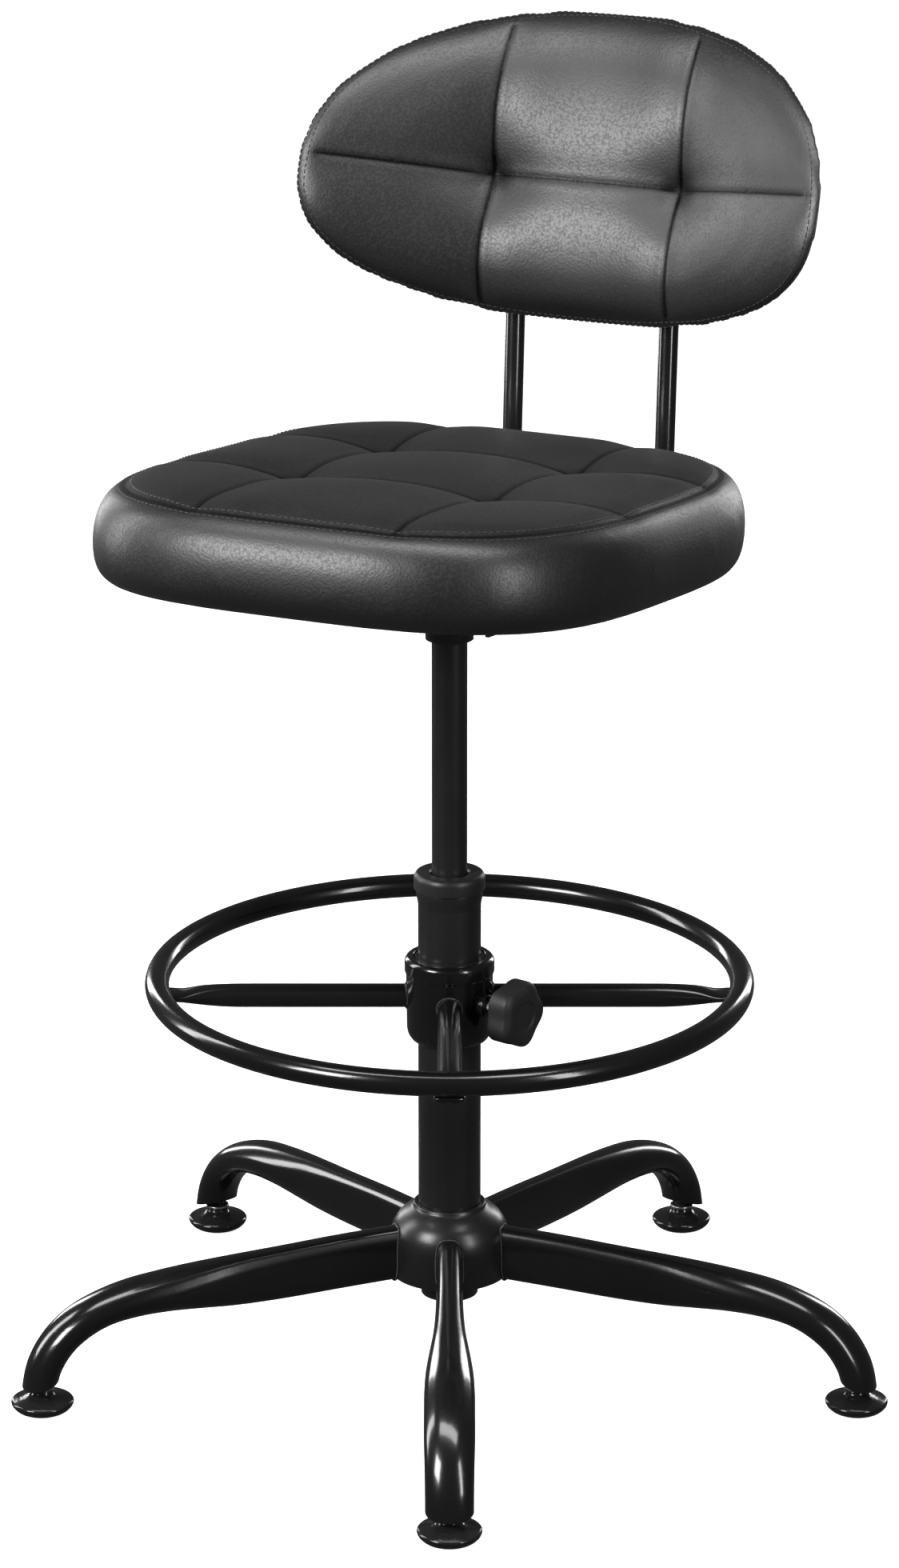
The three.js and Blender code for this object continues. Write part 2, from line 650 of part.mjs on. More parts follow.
function addBackrest() {
  const screws = [-1, 1].flatMap((side) => BACK_SCREW_V.map((v) => [side, v]));
  const holes = (radius) => screws.map(([side, v]) => backShank(side, v, radius, -80, -12));
  const board = cut(backSkin([[0.02, -40], [0.9, -40], [0.9, -30], [0.02, -30]]), ...holes(3.4));
  const pad = backSkin([
    [0.02, 10], [0.45, 10], [0.75, 8], [0.88, 3], [0.96, -5], [1, -17], [0.985, -26], [0.95, -29.7],
    [0.9, -29.7], [0.02, -29.7],
  ]);
  const cover = cut(backSkin([
    [0.02, -77], [0.5, -76], [0.78, -71], [0.9, -59], [0.96, -45], [0.968, -36], [0.955, -30],
    [0.935, -30], [0.947, -36], [0.938, -44.5], [0.885, -56.8], [0.77, -68.5], [0.5, -73.4], [0.02, -74.4],
  ]), backBar(-1, BAR_R + GAP), backBar(1, BAR_R + GAP));
  piece("back_pad", pad, "leather");
  piece("back_board", board, "wood");
  piece("back_cover", cover, "leather");
  for (const [side, word] of [[-1, "right"], [1, "left"]]) {
    const bar = cut(backBar(side), ...BACK_SCREW_V.map((v) => backShank(side, v, 3.3, -80, -12)));
    const place = [side * BAR_X, 160];
    const hold = leaned(
      block([place[0] - 24, place[1] - 30, 643.7], [place[0] + 24, place[1] + 30, PLATE_TOP]));
    const clamp = cut(hold, backBar(side, BAR_R + GAP), leaned(rodZ(3.4, side * (BAR_X - 15), 160, 640, 670)));
    const clampScrew = leaned(join(
      rodZ(6, side * (BAR_X - 15), 160, 638.4, 643.4), rodZ(3, side * (BAR_X - 15), 160, 640, 676)));
    piece(`back_bar_${word}`, bar, "paint");
    piece(`bar_clamp_${word}`, clamp, "paint");
    piece(`bar_clamp_screw_${word}`, clampScrew, "steel");
    BACK_SCREW_V.forEach((v, i) => {
      const behindBar = BACK_BAR_W - BAR_R - GAP;
      const head = backShank(side, v, 5.5, behindBar - 3, behindBar);
      const shank = backShank(side, v, 3, behindBar - 1, BAR_FACE_OFFSET - 43);
      piece(`back_screw_${word}_${i + 1}`, join(head, shank), "steel");
    });
  }
}

addBase();
addGasLift();
addFootRing();
addSeatMechanism();
addSeat();
addBackrest();

export default chair;
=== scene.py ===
"""Drafting chair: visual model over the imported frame, in metres, +Z up, seat front towards -Y."""
import json
import math
from contextlib import contextmanager

import bmesh
import bpy
from bpy.props import FloatProperty, FloatVectorProperty, IntProperty, PointerProperty
from mathutils import Matrix, Vector
from mathutils.bvhtree import BVHTree


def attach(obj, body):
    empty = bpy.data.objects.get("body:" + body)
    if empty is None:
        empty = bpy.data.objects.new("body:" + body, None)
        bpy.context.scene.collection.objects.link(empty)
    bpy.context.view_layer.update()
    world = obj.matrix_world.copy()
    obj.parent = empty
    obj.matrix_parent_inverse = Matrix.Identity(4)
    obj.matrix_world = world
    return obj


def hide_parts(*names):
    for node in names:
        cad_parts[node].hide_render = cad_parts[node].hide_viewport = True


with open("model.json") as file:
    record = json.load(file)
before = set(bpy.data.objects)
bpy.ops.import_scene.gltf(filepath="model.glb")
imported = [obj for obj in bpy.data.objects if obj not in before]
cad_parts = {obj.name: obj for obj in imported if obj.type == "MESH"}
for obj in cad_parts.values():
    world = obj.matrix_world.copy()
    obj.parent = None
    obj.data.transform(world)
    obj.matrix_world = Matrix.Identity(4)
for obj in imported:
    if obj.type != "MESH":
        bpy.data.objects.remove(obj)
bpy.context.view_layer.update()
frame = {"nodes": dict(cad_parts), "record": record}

bl_info = {
    "name": "Drafting Chair",
    "version": (1, 0, 0),
    "blender": (4, 5, 0),
    "location": "View3D > Sidebar > Chair",
    "description": "Builds a tall swivel chair with a foot ring and tufted leatherette pads",
    "category": "Add Mesh",
}

AXIS = Vector((-0.021, -0.012, 0.0))       # foot of the column's axis
BASE_TURN = math.radians(-65.5)            # azimuth of the first leg
SPOKE_TURN = math.radians(24.5)            # azimuth of the first spoke
KNOB_TURN = math.radians(-13.5)            # azimuth of the clamp knob
PLATE_TOP = 0.6639                         # top of the seat plate at the column
SEAT_LEAN = math.radians(6.2)              # the seat's tilt towards the back
BACK_FOOT = Vector((0.0, 0.262, 0.917))    # middle of the backrest's face, from the column
BACK_LEAN = math.radians(17)


# ------------------------------------------------------------------ sizes and colours

class ChairSizes(bpy.types.PropertyGroup):
    tuft_spread: FloatProperty(
        name="Tuft Spread", description="Distance of the tufts from the middle line",
        default=0.081, unit="LENGTH")
    seat_puff: FloatProperty(
        name="Seat Pressure", description="Air pressure that fills the seat's panels", default=4.0)
    back_puff: FloatProperty(
        name="Back Pressure", description="Air pressure that fills the backrest's panels", default=4.0)
    swell_limit: FloatProperty(
        name="Swell Limit", description="Furthest that the cover may move as the pads fill",
        default=0.016, unit="LENGTH")
    stitch_pitch: FloatProperty(
        name="Stitch Pitch", description="Distance from one stitch to the next",
        default=0.0052, unit="LENGTH")
    thread_radius: FloatProperty(
        name="Thread Radius", description="Half the thickness of the sewing thread",
        default=0.00042, unit="LENGTH")
    weld_pitch: FloatProperty(
        name="Weld Pitch", description="Distance from one ripple of a weld to the next",
        default=0.0016, unit="LENGTH")
    round_segments: IntProperty(
        name="Round Segments", description="Sides of the turned parts", default=96, min=24)


class ChairColours(bpy.types.PropertyGroup):
    paint: FloatVectorProperty(
        name="Paint", description="Gloss paint of the tubes", subtype="COLOR", default=(0.006, 0.006, 0.0065))
    column: FloatVectorProperty(
        name="Column", description="Satin paint of the gas lift", subtype="COLOR", default=(0.012, 0.012, 0.0125))
    leather: FloatVectorProperty(
        name="Leatherette", description="Covering of the pads", subtype="COLOR", default=(0.0075, 0.0075, 0.0077))
    plastic: FloatVectorProperty(
        name="Plastic", description="Moulded knob and grip", subtype="COLOR", default=(0.020, 0.020, 0.021))
    floor: FloatVectorProperty(
        name="Floor", description="Studio floor", subtype="COLOR", default=(0.86, 0.86, 0.86))


# ------------------------------------------------------------------ shader arithmetic

class Level:
    """A number socket of a material, used in ordinary arithmetic."""

    def __init__(self, finish, socket):
        self.finish, self.socket = finish, socket

    def math(self, operation, *others):
        values = [self, *others]
        node = self.finish.node("ShaderNodeMath", {"operation": operation}, dict(enumerate(values)))
        return Level(self.finish, node.outputs[0])

    def __add__(self, other):
        return self.math("ADD", other)

    def __mul__(self, other):
        return self.math("MULTIPLY", other)

    def __rsub__(self, other):
        return (self * -1.0).math("ADD", other)

    __radd__ = __add__
    __rmul__ = __mul__


class Finish:
    """A procedural material with a Principled shader."""

    def __init__(self, name, constants):
        self.material = bpy.data.materials.new(name)
        self.material.use_nodes = True
        self.tree = self.material.node_tree
        self.tree.nodes.clear()
        self.shader = self.node("ShaderNodeBsdfPrincipled", {}, constants)
        self.node("ShaderNodeOutputMaterial", {}, {"Surface": self.shader.outputs[0]})
        self.place = self.node("ShaderNodeTexCoord").outputs["Object"]

    def node(self, kind, settings=None, inputs=None):
        node = self.tree.nodes.new(kind)
        for key, value in (settings or {}).items():
            setattr(node, key, value)
        for key, value in (inputs or {}).items():
            if isinstance(value, Level):
                value = value.socket
            if isinstance(value, bpy.types.NodeSocket):
                self.tree.links.new(value, node.inputs[key])
            else:
                node.inputs[key].default_value = value
        return node

    def noise(self, scale, detail=3.0, stretch=(1.0, 1.0, 1.0), roughness=0.5):
        spread = self.node("ShaderNodeMapping", {}, {"Vector": self.place, "Scale": stretch})
        node = self.node(
            "ShaderNodeTexNoise", {}, {
                "Vector": spread.outputs[0], "Scale": scale, "Detail": detail, "Roughness": roughness})
        return Level(self, node.outputs["Fac"])

    def cells(self, scale, feature="SMOOTH_F1"):
        node = self.node("ShaderNodeTexVoronoi", {"feature": feature}, {"Vector": self.place, "Scale": scale})
        return Level(self, node.outputs["Distance"])

    def blend(self, factor, first, second):
        node = self.node("ShaderNodeMix", {"data_type": "RGBA"}, {
            0: factor, 6: (*first, 1.0) if isinstance(first, tuple) else first,
            7: (*second, 1.0) if isinstance(second, tuple) else second})
        return node.outputs[2]

    def ramp(self, level, low, high):
        node = self.node("ShaderNodeMapRange", {"interpolation_type": "SMOOTHSTEP"}, {
            "Value": level, "From Min": low, "From Max": high})
        return Level(self, node.outputs[0])

    def mottle(self, level, colour, dark, light):
        """A colour that drifts between a darker and a lighter tone."""
        return self.blend(self.ramp(level, 0.3, 0.75), tint(colour, dark), tint(colour, light))

    def relief(self, height, strength, distance):
        node = self.node("ShaderNodeBump", {}, {"Height": height, "Strength": strength, "Distance": distance})
        self.tree.links.new(node.outputs[0], self.shader.inputs["Normal"])

    def feed(self, **sockets):
        names = {"colour": "Base Color", "roughness": "Roughness", "metallic": "Metallic"}
        for key, value in sockets.items():
            socket = value.socket if isinstance(value, Level) else value
            self.tree.links.new(socket, self.shader.inputs[names[key]])


def tint(colour, gain):
    return tuple(min(1.0, c * gain) for c in colour)


def gloss_paint(name, colour):
    """Sprayed gloss paint with a faint orange peel and soft wear."""
    finish = Finish(name, {"IOR": 1.5, "Coat Weight": 0.35, "Coat Roughness": 0.06})
    cloud = finish.noise(9.0, 4.0)
    scuff = finish.ramp(finish.noise(140.0, 5.0, (1.0, 1.0, 0.35), 0.65), 0.62, 0.78)
    finish.feed(
        colour=finish.mottle(cloud, colour, 0.85, 1.35),
        roughness=cloud * 0.06 + 0.16 + scuff * 0.07)
    finish.relief(finish.noise(260.0, 2.0) + scuff * 0.15, 0.10, 0.0004)
    return finish.material


def satin_paint(name, colour):
    """Satin powder coat with a fine even texture."""
    finish = Finish(name, {"IOR": 1.5, "Coat Weight": 0.08, "Coat Roughness": 0.2})
    cloud = finish.noise(14.0, 4.0)
    fine = finish.noise(900.0, 2.0)
    finish.feed(
        colour=finish.mottle(cloud, colour, 0.85, 1.3),
        roughness=cloud * 0.08 + 0.26 + fine * 0.05)
    finish.relief(fine, 0.12, 0.0003)
    return finish.material


def moulded_plastic(name, colour, roughness=0.45, grain=1400.0):
    """Spark-textured moulded plastic."""
    finish = Finish(name, {"IOR": 1.48})
    cloud = finish.noise(20.0, 3.0)
    pits = finish.cells(grain)
    finish.feed(
        colour=finish.mottle(cloud, colour, 0.85, 1.25),
        roughness=cloud * 0.1 + roughness)
    finish.relief(pits + finish.noise(grain * 0.5, 2.0) * 0.6, 0.25, 0.0003)
    return finish.material


def zinc_steel(name):
    """Zinc-plated steel with a soft spangle and fine scratches."""
    finish = Finish(name, {"IOR": 1.5})
    spangle = finish.cells(160.0, "F1")
    scratch = finish.noise(420.0, 4.0, (1.0, 0.08, 1.0))
    finish.feed(
        colour=finish.blend(finish.ramp(spangle, 0.1, 0.7), (0.42, 0.43, 0.44), (0.62, 0.63, 0.64)),
        roughness=scratch * 0.2 + 0.22 + spangle * 0.08,
        metallic=finish.ramp(scratch, 0.0, 0.02) * 0.05 + 0.95)
    finish.relief(scratch, 0.12, 0.0003)
    return finish.material


def plywood(name):
    """Birch plywood: long grain and thin glue lines on the edges."""
    finish = Finish(name, {"IOR": 1.45})
    grain = finish.noise(70.0, 6.0, (1.0, 0.06, 1.0), 0.6)
    axes = finish.node("ShaderNodeSeparateXYZ", {}, {0: finish.place})
    plies = (Level(finish, axes.outputs[2]) * 420.0).math("SINE") * 0.5 + 0.5
    colour = finish.blend(finish.ramp(grain, 0.3, 0.7), (0.42, 0.27, 0.14), (0.62, 0.45, 0.27))
    finish.feed(
        colour=finish.blend(finish.ramp(plies, 0.75, 0.95) * 0.45, colour, (0.16, 0.09, 0.05)),
        roughness=grain * 0.15 + 0.5)
    finish.relief(grain, 0.25, 0.0005)
    return finish.material


def rubber(name):
    """Plain black rubber with bloom."""
    finish = Finish(name, {"IOR": 1.5})
    bloom = finish.noise(60.0, 5.0)
    finish.feed(colour=finish.blend(finish.ramp(bloom, 0.4, 0.7), (0.012, 0.012, 0.012), (0.03, 0.03, 0.03)),
                roughness=bloom * 0.15 + 0.62)
    finish.relief(finish.noise(700.0), 0.2, 0.0003)
    return finish.material


def leatherette(name, colour):
    """Coated upholstery: pebbled grain, stretch creases, a soft sheen that varies with handling, and painted shade
    in the seams and round the tufts where the 'seam' attribute is set.
    """
    finish = Finish(name, {"IOR": 1.5, "Specular IOR Level": 0.72, "Sheen Weight": 0.015, "Sheen Roughness": 0.5})
    cloud = finish.noise(11.0, 4.0)
    pebble = finish.cells(520.0)
    fine = finish.cells(1150.0)
    crease = finish.noise(95.0, 6.0, (1.0, 1.0, 1.0), 0.62)
    valley = finish.ramp(pebble, 0.25, 0.75)
    # Painted shade: where the 'seam' attribute is set (seam grooves and tuft dimples) the colour goes near black
    # and metallic rises, which also dims the reflection there.
    seam = Level(finish, finish.node("ShaderNodeAttribute", {"attribute_name": "seam"}).outputs["Fac"])
    body = finish.mottle(cloud, colour, 0.82, 1.25)
    body = finish.blend(valley * 0.55, body, tint(colour, 0.55))
    finish.feed(
        colour=finish.blend(seam, body, tint(colour, 0.05)),
        metallic=seam * 0.92,
        roughness=cloud * 0.08 + 0.35 + valley * 0.10)
    height = (1.0 - pebble) * 0.7 + (1.0 - fine) * 0.25 + crease * 0.5
    finish.relief(height, 0.30, 0.00045)
    return finish.material


def thread(name, colour):
    """Twisted sewing thread."""
    finish = Finish(name, {"IOR": 1.5, "Sheen Weight": 0.3})
    twist = finish.noise(1600.0, 2.0)
    finish.feed(colour=finish.blend(twist, tint(colour, 0.7), tint(colour, 1.6)), roughness=twist * 0.2 + 0.45)
    finish.relief(twist, 0.4, 0.0003)
    return finish.material


def dust_cloth(name):
    """Thin black non-woven cloth under the seat."""
    finish = Finish(name, {"IOR": 1.45, "Sheen Weight": 0.2})
    fibres = finish.noise(900.0, 4.0, (1.0, 0.25, 1.0), 0.7)
    dots = finish.cells(380.0, "F1")
    finish.feed(colour=finish.blend(fibres, (0.010, 0.010, 0.010), (0.035, 0.035, 0.036)),
                roughness=fibres * 0.15 + 0.75)
    finish.relief(fibres * 0.6 + dots, 0.4, 0.0004)
    return finish.material


def studio_floor(name, colour):
    """Matt seamless paper, lit through from behind."""
    finish = Finish(name, {
        "IOR": 1.3, "Specular IOR Level": 0.1, "Emission Color": (1.0, 1.0, 1.0, 1.0), "Emission Strength": 0.92})
    cloud = finish.noise(1.2, 2.0)
    finish.feed(colour=finish.blend(cloud, tint(colour, 0.995), tint(colour, 1.005)),
                roughness=cloud * 0.05 + 0.85)
    return finish.material


MAKERS = {
    "gloss_black_paint": lambda c: gloss_paint("gloss black paint", tuple(c.paint)),
    "frame_paint": lambda c: gloss_paint("frame paint", tint(c.paint, 1.3)),
    "column_paint": lambda c: satin_paint("satin column paint", tuple(c.column)),
    "glide_plastic": lambda c: moulded_plastic("gloss glide plastic", (0.013, 0.013, 0.014), 0.10, 500.0),
    "black_plastic": lambda c: moulded_plastic("black plastic", (0.02, 0.02, 0.021), 0.36),
    "knob_plastic": lambda c: moulded_plastic("knob plastic", tuple(c.plastic)),
    "cover_plastic": lambda c: dust_cloth("dust cloth"),
    "steel": lambda c: zinc_steel("zinc-plated steel"),
    "rubber": lambda c: rubber("black rubber"),
    "plywood": lambda c: plywood("birch plywood"),
    "seat_leatherette": lambda c: leatherette("seat leatherette", tuple(c.leather)),
    "back_leatherette": lambda c: leatherette("back leatherette", tuple(c.leather)),
    "sewing_thread": lambda c: thread("sewing thread", tint(c.leather, 0.8)),
    "studio_floor": lambda c: studio_floor("studio floor", tuple(c.floor)),
}
made_finishes = {}


def finish_for(slot):
    if slot not in made_finishes:
        made_finishes[slot] = MAKERS[slot](bpy.context.scene.chair_colours)
    return made_finishes[slot]


# ------------------------------------------------------------------ mesh helpers

def new_object(name, mesh):
    piece = bpy.data.objects.new(name, mesh)
    bpy.context.scene.collection.objects.link(piece)
    return piece


@contextmanager
def opened(mesh):
    """A mesh opened for editing, and written back afterwards."""
    work = bmesh.new()
    work.from_mesh(mesh)
    yield work
    work.to_mesh(mesh)
    work.free()


def skin_mesh(rings, capped=True, closed=False):
    """A skin through rings of equal count: its ends capped by fans, left open, or joined to each other."""
    around = len(rings[0])
    points = [p for ring in rings for p in ring]
    faces = []
    for i in range(len(rings) if closed else len(rings) - 1):
        here, there = i * around, ((i + 1) % len(rings)) * around
        faces += [(here + j, here + (j + 1) % around, there + (j + 1) % around, there + j) for j in range(around)]
    if capped and not closed:
        for first in (0, (len(rings) - 1) * around):
            middle = sum((Vector(points[first + j]) for j in range(around)), Vector()) / around
            points.append(middle)
            faces += [(first + j, first + (j + 1) % around, len(points) - 1) for j in range(around)]
    mesh = bpy.data.meshes.new("form")
    mesh.from_pydata([tuple(p) for p in points], [], faces)
    with opened(mesh) as work:
        bmesh.ops.remove_doubles(work, verts=work.verts, dist=1e-7)
        bmesh.ops.recalc_face_normals(work, faces=work.faces)
    return mesh


def fillet(profile, radius=0.0006, steps=4, closed=True):
    """Rounds the corners of a profile of (r, z) points. A third value is that corner's own radius."""
    count, made = len(profile), []
    for i, point in enumerate(profile):
        here = Vector(point[:2])
        own = point[2] if len(point) > 2 else radius
        if not closed and i in (0, count - 1):
            made.append(here)
            continue
        before, after = Vector(profile[i - 1][:2]) - here, Vector(profile[(i + 1) % count][:2]) - here
        reach = min(own, before.length * 0.45, after.length * 0.45)
        start, end = here + before.normalized() * reach, here + after.normalized() * reach
        for k in range(steps + 1):
            t = k / steps
            made.append(start * (1 - t) ** 2 + here * 2 * t * (1 - t) + end * t ** 2)
    return made


def lathe(profile, segments=None, place=None, closed=True):
    """Turns a profile about the column's axis: a closed one makes a ring, an open one a solid."""
    segments = segments or bpy.context.scene.chair_sizes.round_segments
    rings = []
    for r, z in profile:
        rings.append([
            Vector((r * math.cos(2 * math.pi * j / segments), r * math.sin(2 * math.pi * j / segments), z))
            for j in range(segments)])
    mesh = skin_mesh(rings, capped=False, closed=closed)
    mesh.transform(place or Matrix.Translation(AXIS))
    return mesh


def turned_to(angle, reach=0.0):
    """Place of a part drawn along +X at an azimuth round the column."""
    return Matrix.Translation(AXIS) @ Matrix.Rotation(angle, 4, "Z") @ Matrix.Translation((reach, 0, 0))


def eased(stations, steps):
    """Smooth curve through stations of any length, a few steps between each two."""
    made = []
    for i in range(len(stations) - 1):
        a, b = stations[max(i - 1, 0)], stations[i]
        c, d = stations[i + 1], stations[min(i + 2, len(stations) - 1)]
        for k in range(steps):
            t = k / steps
            made.append([
                0.5 * (2 * q + (r - p) * t + (2 * p - 5 * q + 4 * r - s) * t * t
                       + (3 * q - p - 3 * r + s) * t ** 3)
                for p, q, r, s in zip(a, b, c, d)])
    made.append(list(stations[-1]))
    return made


def oval(around, half_width, half_height, power):
    made = []
    for j in range(around):
        c, s = math.cos(2 * math.pi * j / around), math.sin(2 * math.pi * j / around)
        made.append((
            half_width * math.copysign(abs(c) ** (2 / power), c),
            half_height * math.copysign(abs(s) ** (2 / power), s)))
    return made


def bar_rings(stations, around):
    """Rings of a bar in the XZ plane: stations of [reach, height, half width, half height, power]."""
    rings = []
    for i, (reach, height, wide, high, power) in enumerate(stations):
        before, after = stations[max(i - 1, 0)], stations[min(i + 1, len(stations) - 1)]
        slope = math.atan2(after[1] - before[1], after[0] - before[0])
        rings.append([
            Vector((reach - up * math.sin(slope), side, height + up * math.cos(slope)))
            for side, up in oval(around, wide, high, power)])
    return rings


def baked(piece, *modifiers):
    """Adds modifiers of (type, settings), applies them, and leaves a plain smooth mesh."""
    for kind, settings in modifiers:
        added = piece.modifiers.new(kind.title(), kind)
        for key, value in settings.items():
            setattr(added, key, value)
    graph = bpy.context.evaluated_depsgraph_get()
    mesh = bpy.data.meshes.new_from_object(piece.evaluated_get(graph))
    piece.modifiers.clear()
    old, piece.data = piece.data, mesh
    bpy.data.meshes.remove(old)
    return piece


def finished(name, mesh, slot, body, nodes=(), sharp=None, tool=None):
    """Makes a mesh a piece of the chair: smooth shading, finish, body, and the nodes it stands for."""
    piece = mesh if isinstance(mesh, bpy.types.Object) else new_object(name, mesh)
    piece.name = name
    piece.data.name = name
    piece.data.shade_smooth()
    if sharp:
        piece.data.set_sharp_from_angle(angle=math.radians(sharp))
    piece.data.materials.clear()
    piece.data.materials.append(finish_for(tool or slot))
    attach(piece, body)
    if nodes:
        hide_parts(*nodes)
    return piece


# ------------------------------------------------------------------ beads along a path

def bead_tree():
    """Geometry nodes: a small capsule set at every pitch along a curve, lying along it."""
    tree = bpy.data.node_groups.new("Beads Along Path", "GeometryNodeTree")
    face = tree.interface
    face.new_socket("Path", in_out="INPUT", socket_type="NodeSocketGeometry")
    for name, value in (("Pitch", 0.005), ("Thickness", 0.0005), ("Length", 0.003)):
        socket = face.new_socket(name, in_out="INPUT", socket_type="NodeSocketFloat")
        socket.default_value, socket.min_value = value, 0.0001
    face.new_socket("Finish", in_out="INPUT", socket_type="NodeSocketMaterial")
    face.new_socket("Beads", in_out="OUTPUT", socket_type="NodeSocketGeometry")
    into, out = tree.nodes.new("NodeGroupInput"), tree.nodes.new("NodeGroupOutput")
    points = tree.nodes.new("GeometryNodeCurveToPoints")
    points.mode = "LENGTH"
    ball = tree.nodes.new("GeometryNodeMeshUVSphere")
    ball.inputs["Segments"].default_value, ball.inputs["Rings"].default_value = 8, 5
    ball.inputs["Radius"].default_value = 0.5
    size = tree.nodes.new("ShaderNodeCombineXYZ")
    beads = tree.nodes.new("GeometryNodeInstanceOnPoints")
    real = tree.nodes.new("GeometryNodeRealizeInstances")
    paint = tree.nodes.new("GeometryNodeSetMaterial")
    for a, b in (
            (into.outputs["Path"], points.inputs["Curve"]), (into.outputs["Pitch"], points.inputs["Length"]),
            (points.outputs["Points"], beads.inputs["Points"]), (ball.outputs["Mesh"], beads.inputs["Instance"]),
            (points.outputs["Rotation"], beads.inputs["Rotation"]), (into.outputs["Thickness"], size.inputs[0]),
            (into.outputs["Thickness"], size.inputs[1]), (into.outputs["Length"], size.inputs[2]),
            (size.outputs[0], beads.inputs["Scale"]), (beads.outputs[0], real.inputs[0]),
            (real.outputs[0], paint.inputs["Geometry"]), (into.outputs["Finish"], paint.inputs["Material"]),
            (paint.outputs[0], out.inputs["Beads"])):
        tree.links.new(a, b)
    return tree


def beads_along(paths, pitch, thickness, length, material):
    """Mesh of beads along closed or open paths, each a (points, closed) pair."""
    tree = bpy.data.node_groups.get("Beads Along Path") or bead_tree()
    curve = bpy.data.curves.new("path", "CURVE")
    curve.dimensions = "3D"
    for points, closed in paths:
        spline = curve.splines.new("POLY")
        spline.points.add(len(points) - 1)
        spline.use_cyclic_u = closed
        for target, point in zip(spline.points, points):
            target.co = (*point, 1.0)
    carrier = new_object("path", curve)
    modifier = carrier.modifiers.new("Beads", "NODES")
    modifier.node_group = tree
    values = {"Pitch": pitch, "Thickness": thickness, "Length": length, "Finish": material}
    for item in tree.interface.items_tree:
        if item.in_out == "INPUT" and item.name in values:
            modifier[item.identifier] = values[item.name]
    graph = bpy.context.evaluated_depsgraph_get()
    mesh = bpy.data.meshes.new_from_object(carrier.evaluated_get(graph))
    bpy.data.objects.remove(carrier)
    return mesh


# ------------------------------------------------------------------ base

HUB_SHELL = [
    (0.048, 0.076, 0.003), (0.048, 0.107, 0.006), (0.0462, 0.1155, 0.006), (0.042, 0.1232, 0.006),
    (0.036, 0.129, 0.006), (0.0296, 0.1330, 0.002), (0.0286, 0.136, 0.001),
]
HUB_BORE = [(0.02545, 0.136), (0.02545, 0.122), (0.040, 0.116), (0.0438, 0.104), (0.0438, 0.076)]

# Reach, height, half width, half height and squareness along a leg.
LEG_LINE = [
    [0.036, 0.0975, 0.0105, 0.022, 3.2], [0.090, 0.095, 0.0105, 0.022, 3.2],
    [0.140, 0.092, 0.0112, 0.0216, 3.0], [0.178, 0.0905, 0.013, 0.0208, 2.6],
    [0.208, 0.090, 0.016, 0.019, 2.25], [0.236, 0.089, 0.0184, 0.017, 2], [0.264, 0.0862, 0.0194, 0.0152, 2],
    [0.288, 0.0805, 0.0195, 0.0138, 2], [0.308, 0.071, 0.0195, 0.0136, 2], [0.3245, 0.057, 0.019, 0.0135, 2],
    [0.336, 0.039, 0.0186, 0.0135, 2], [0.341, 0.020, 0.0185, 0.0135, 2], [0.3415, 0.004, 0.0185, 0.0135, 2],
]
GLIDE_REACH = 0.339
MOUTH_Z, MOUTH_SLANT = 0.024, 15           # height of the leg's open mouth, and its slant in degrees
TIP_REACH = 0.300                          # the leg is bent down from here on
GLIDE_FORM = [
    (0, 0), (0.017, 0, 0.002), (0.0215, 0.0022, 0.002), (0.0243, 0.0054, 0.002), (0.025, 0.0080, 0.0012),
    (0.0238, 0.0096, 0.0015), (0.0165, 0.0116, 0.004), (0.0105, 0.0140, 0.002), (0.0086, 0.0158, 0.001),
    (0.0080, 0.0180, 0.0006), (0.0055, 0.0184, 0.0003), (0.0055, 0.043), (0.0046, 0.044), (0, 0.044),
]
GLIDE_NUT = [(0.0058, 0.0184), (0.0094, 0.0184, 0.0008), (0.0098, 0.0205, 0.0009), (0.0058, 0.0216)]


def radius_at(profile, height):
    """Radius of a turned profile at a height, between its points."""
    for (r0, z0, *_), (r1, z1, *_) in zip(profile, profile[1:]):
        if z0 <= height <= z1:
            return r0 + (r1 - r0) * (height - z0) / max(z1 - z0, 1e-9)
    return profile[0][0] if height < profile[0][1] else profile[-1][0]


def leg_mesh():
    """Open flattened tube, bent down to a slanted mouth."""
    mesh = skin_mesh(bar_rings(eased(LEG_LINE, 7), 56), capped=False)
    slant = Matrix.Rotation(math.radians(MOUTH_SLANT), 3, "Y") @ Vector((0, 0, 1))
    with opened(mesh) as work:
        tip = [part for group in (work.verts, work.edges, work.faces) for part in group
               if all(vertex.co.x > TIP_REACH for vertex in getattr(part, "verts", [part]))]
        bmesh.ops.bisect_plane(
            work, geom=tip, dist=1e-6, plane_co=(GLIDE_REACH, 0, MOUTH_Z), plane_no=slant, clear_inner=True)
    return mesh


def weld_path(stations, reach, shell, grow):
    """Line where a bar's section meets a turned shell."""
    _, height, wide, high, power = min(eased(stations, 12), key=lambda s: abs(s[0] - reach))
    points = []
    for side, up in oval(72, wide + grow, high + grow, power):
        radius = radius_at(shell, height + up) + grow * 0.5
        points.append(Vector((math.sqrt(max(radius ** 2 - side ** 2, 0)), side, height + up)))
    return points


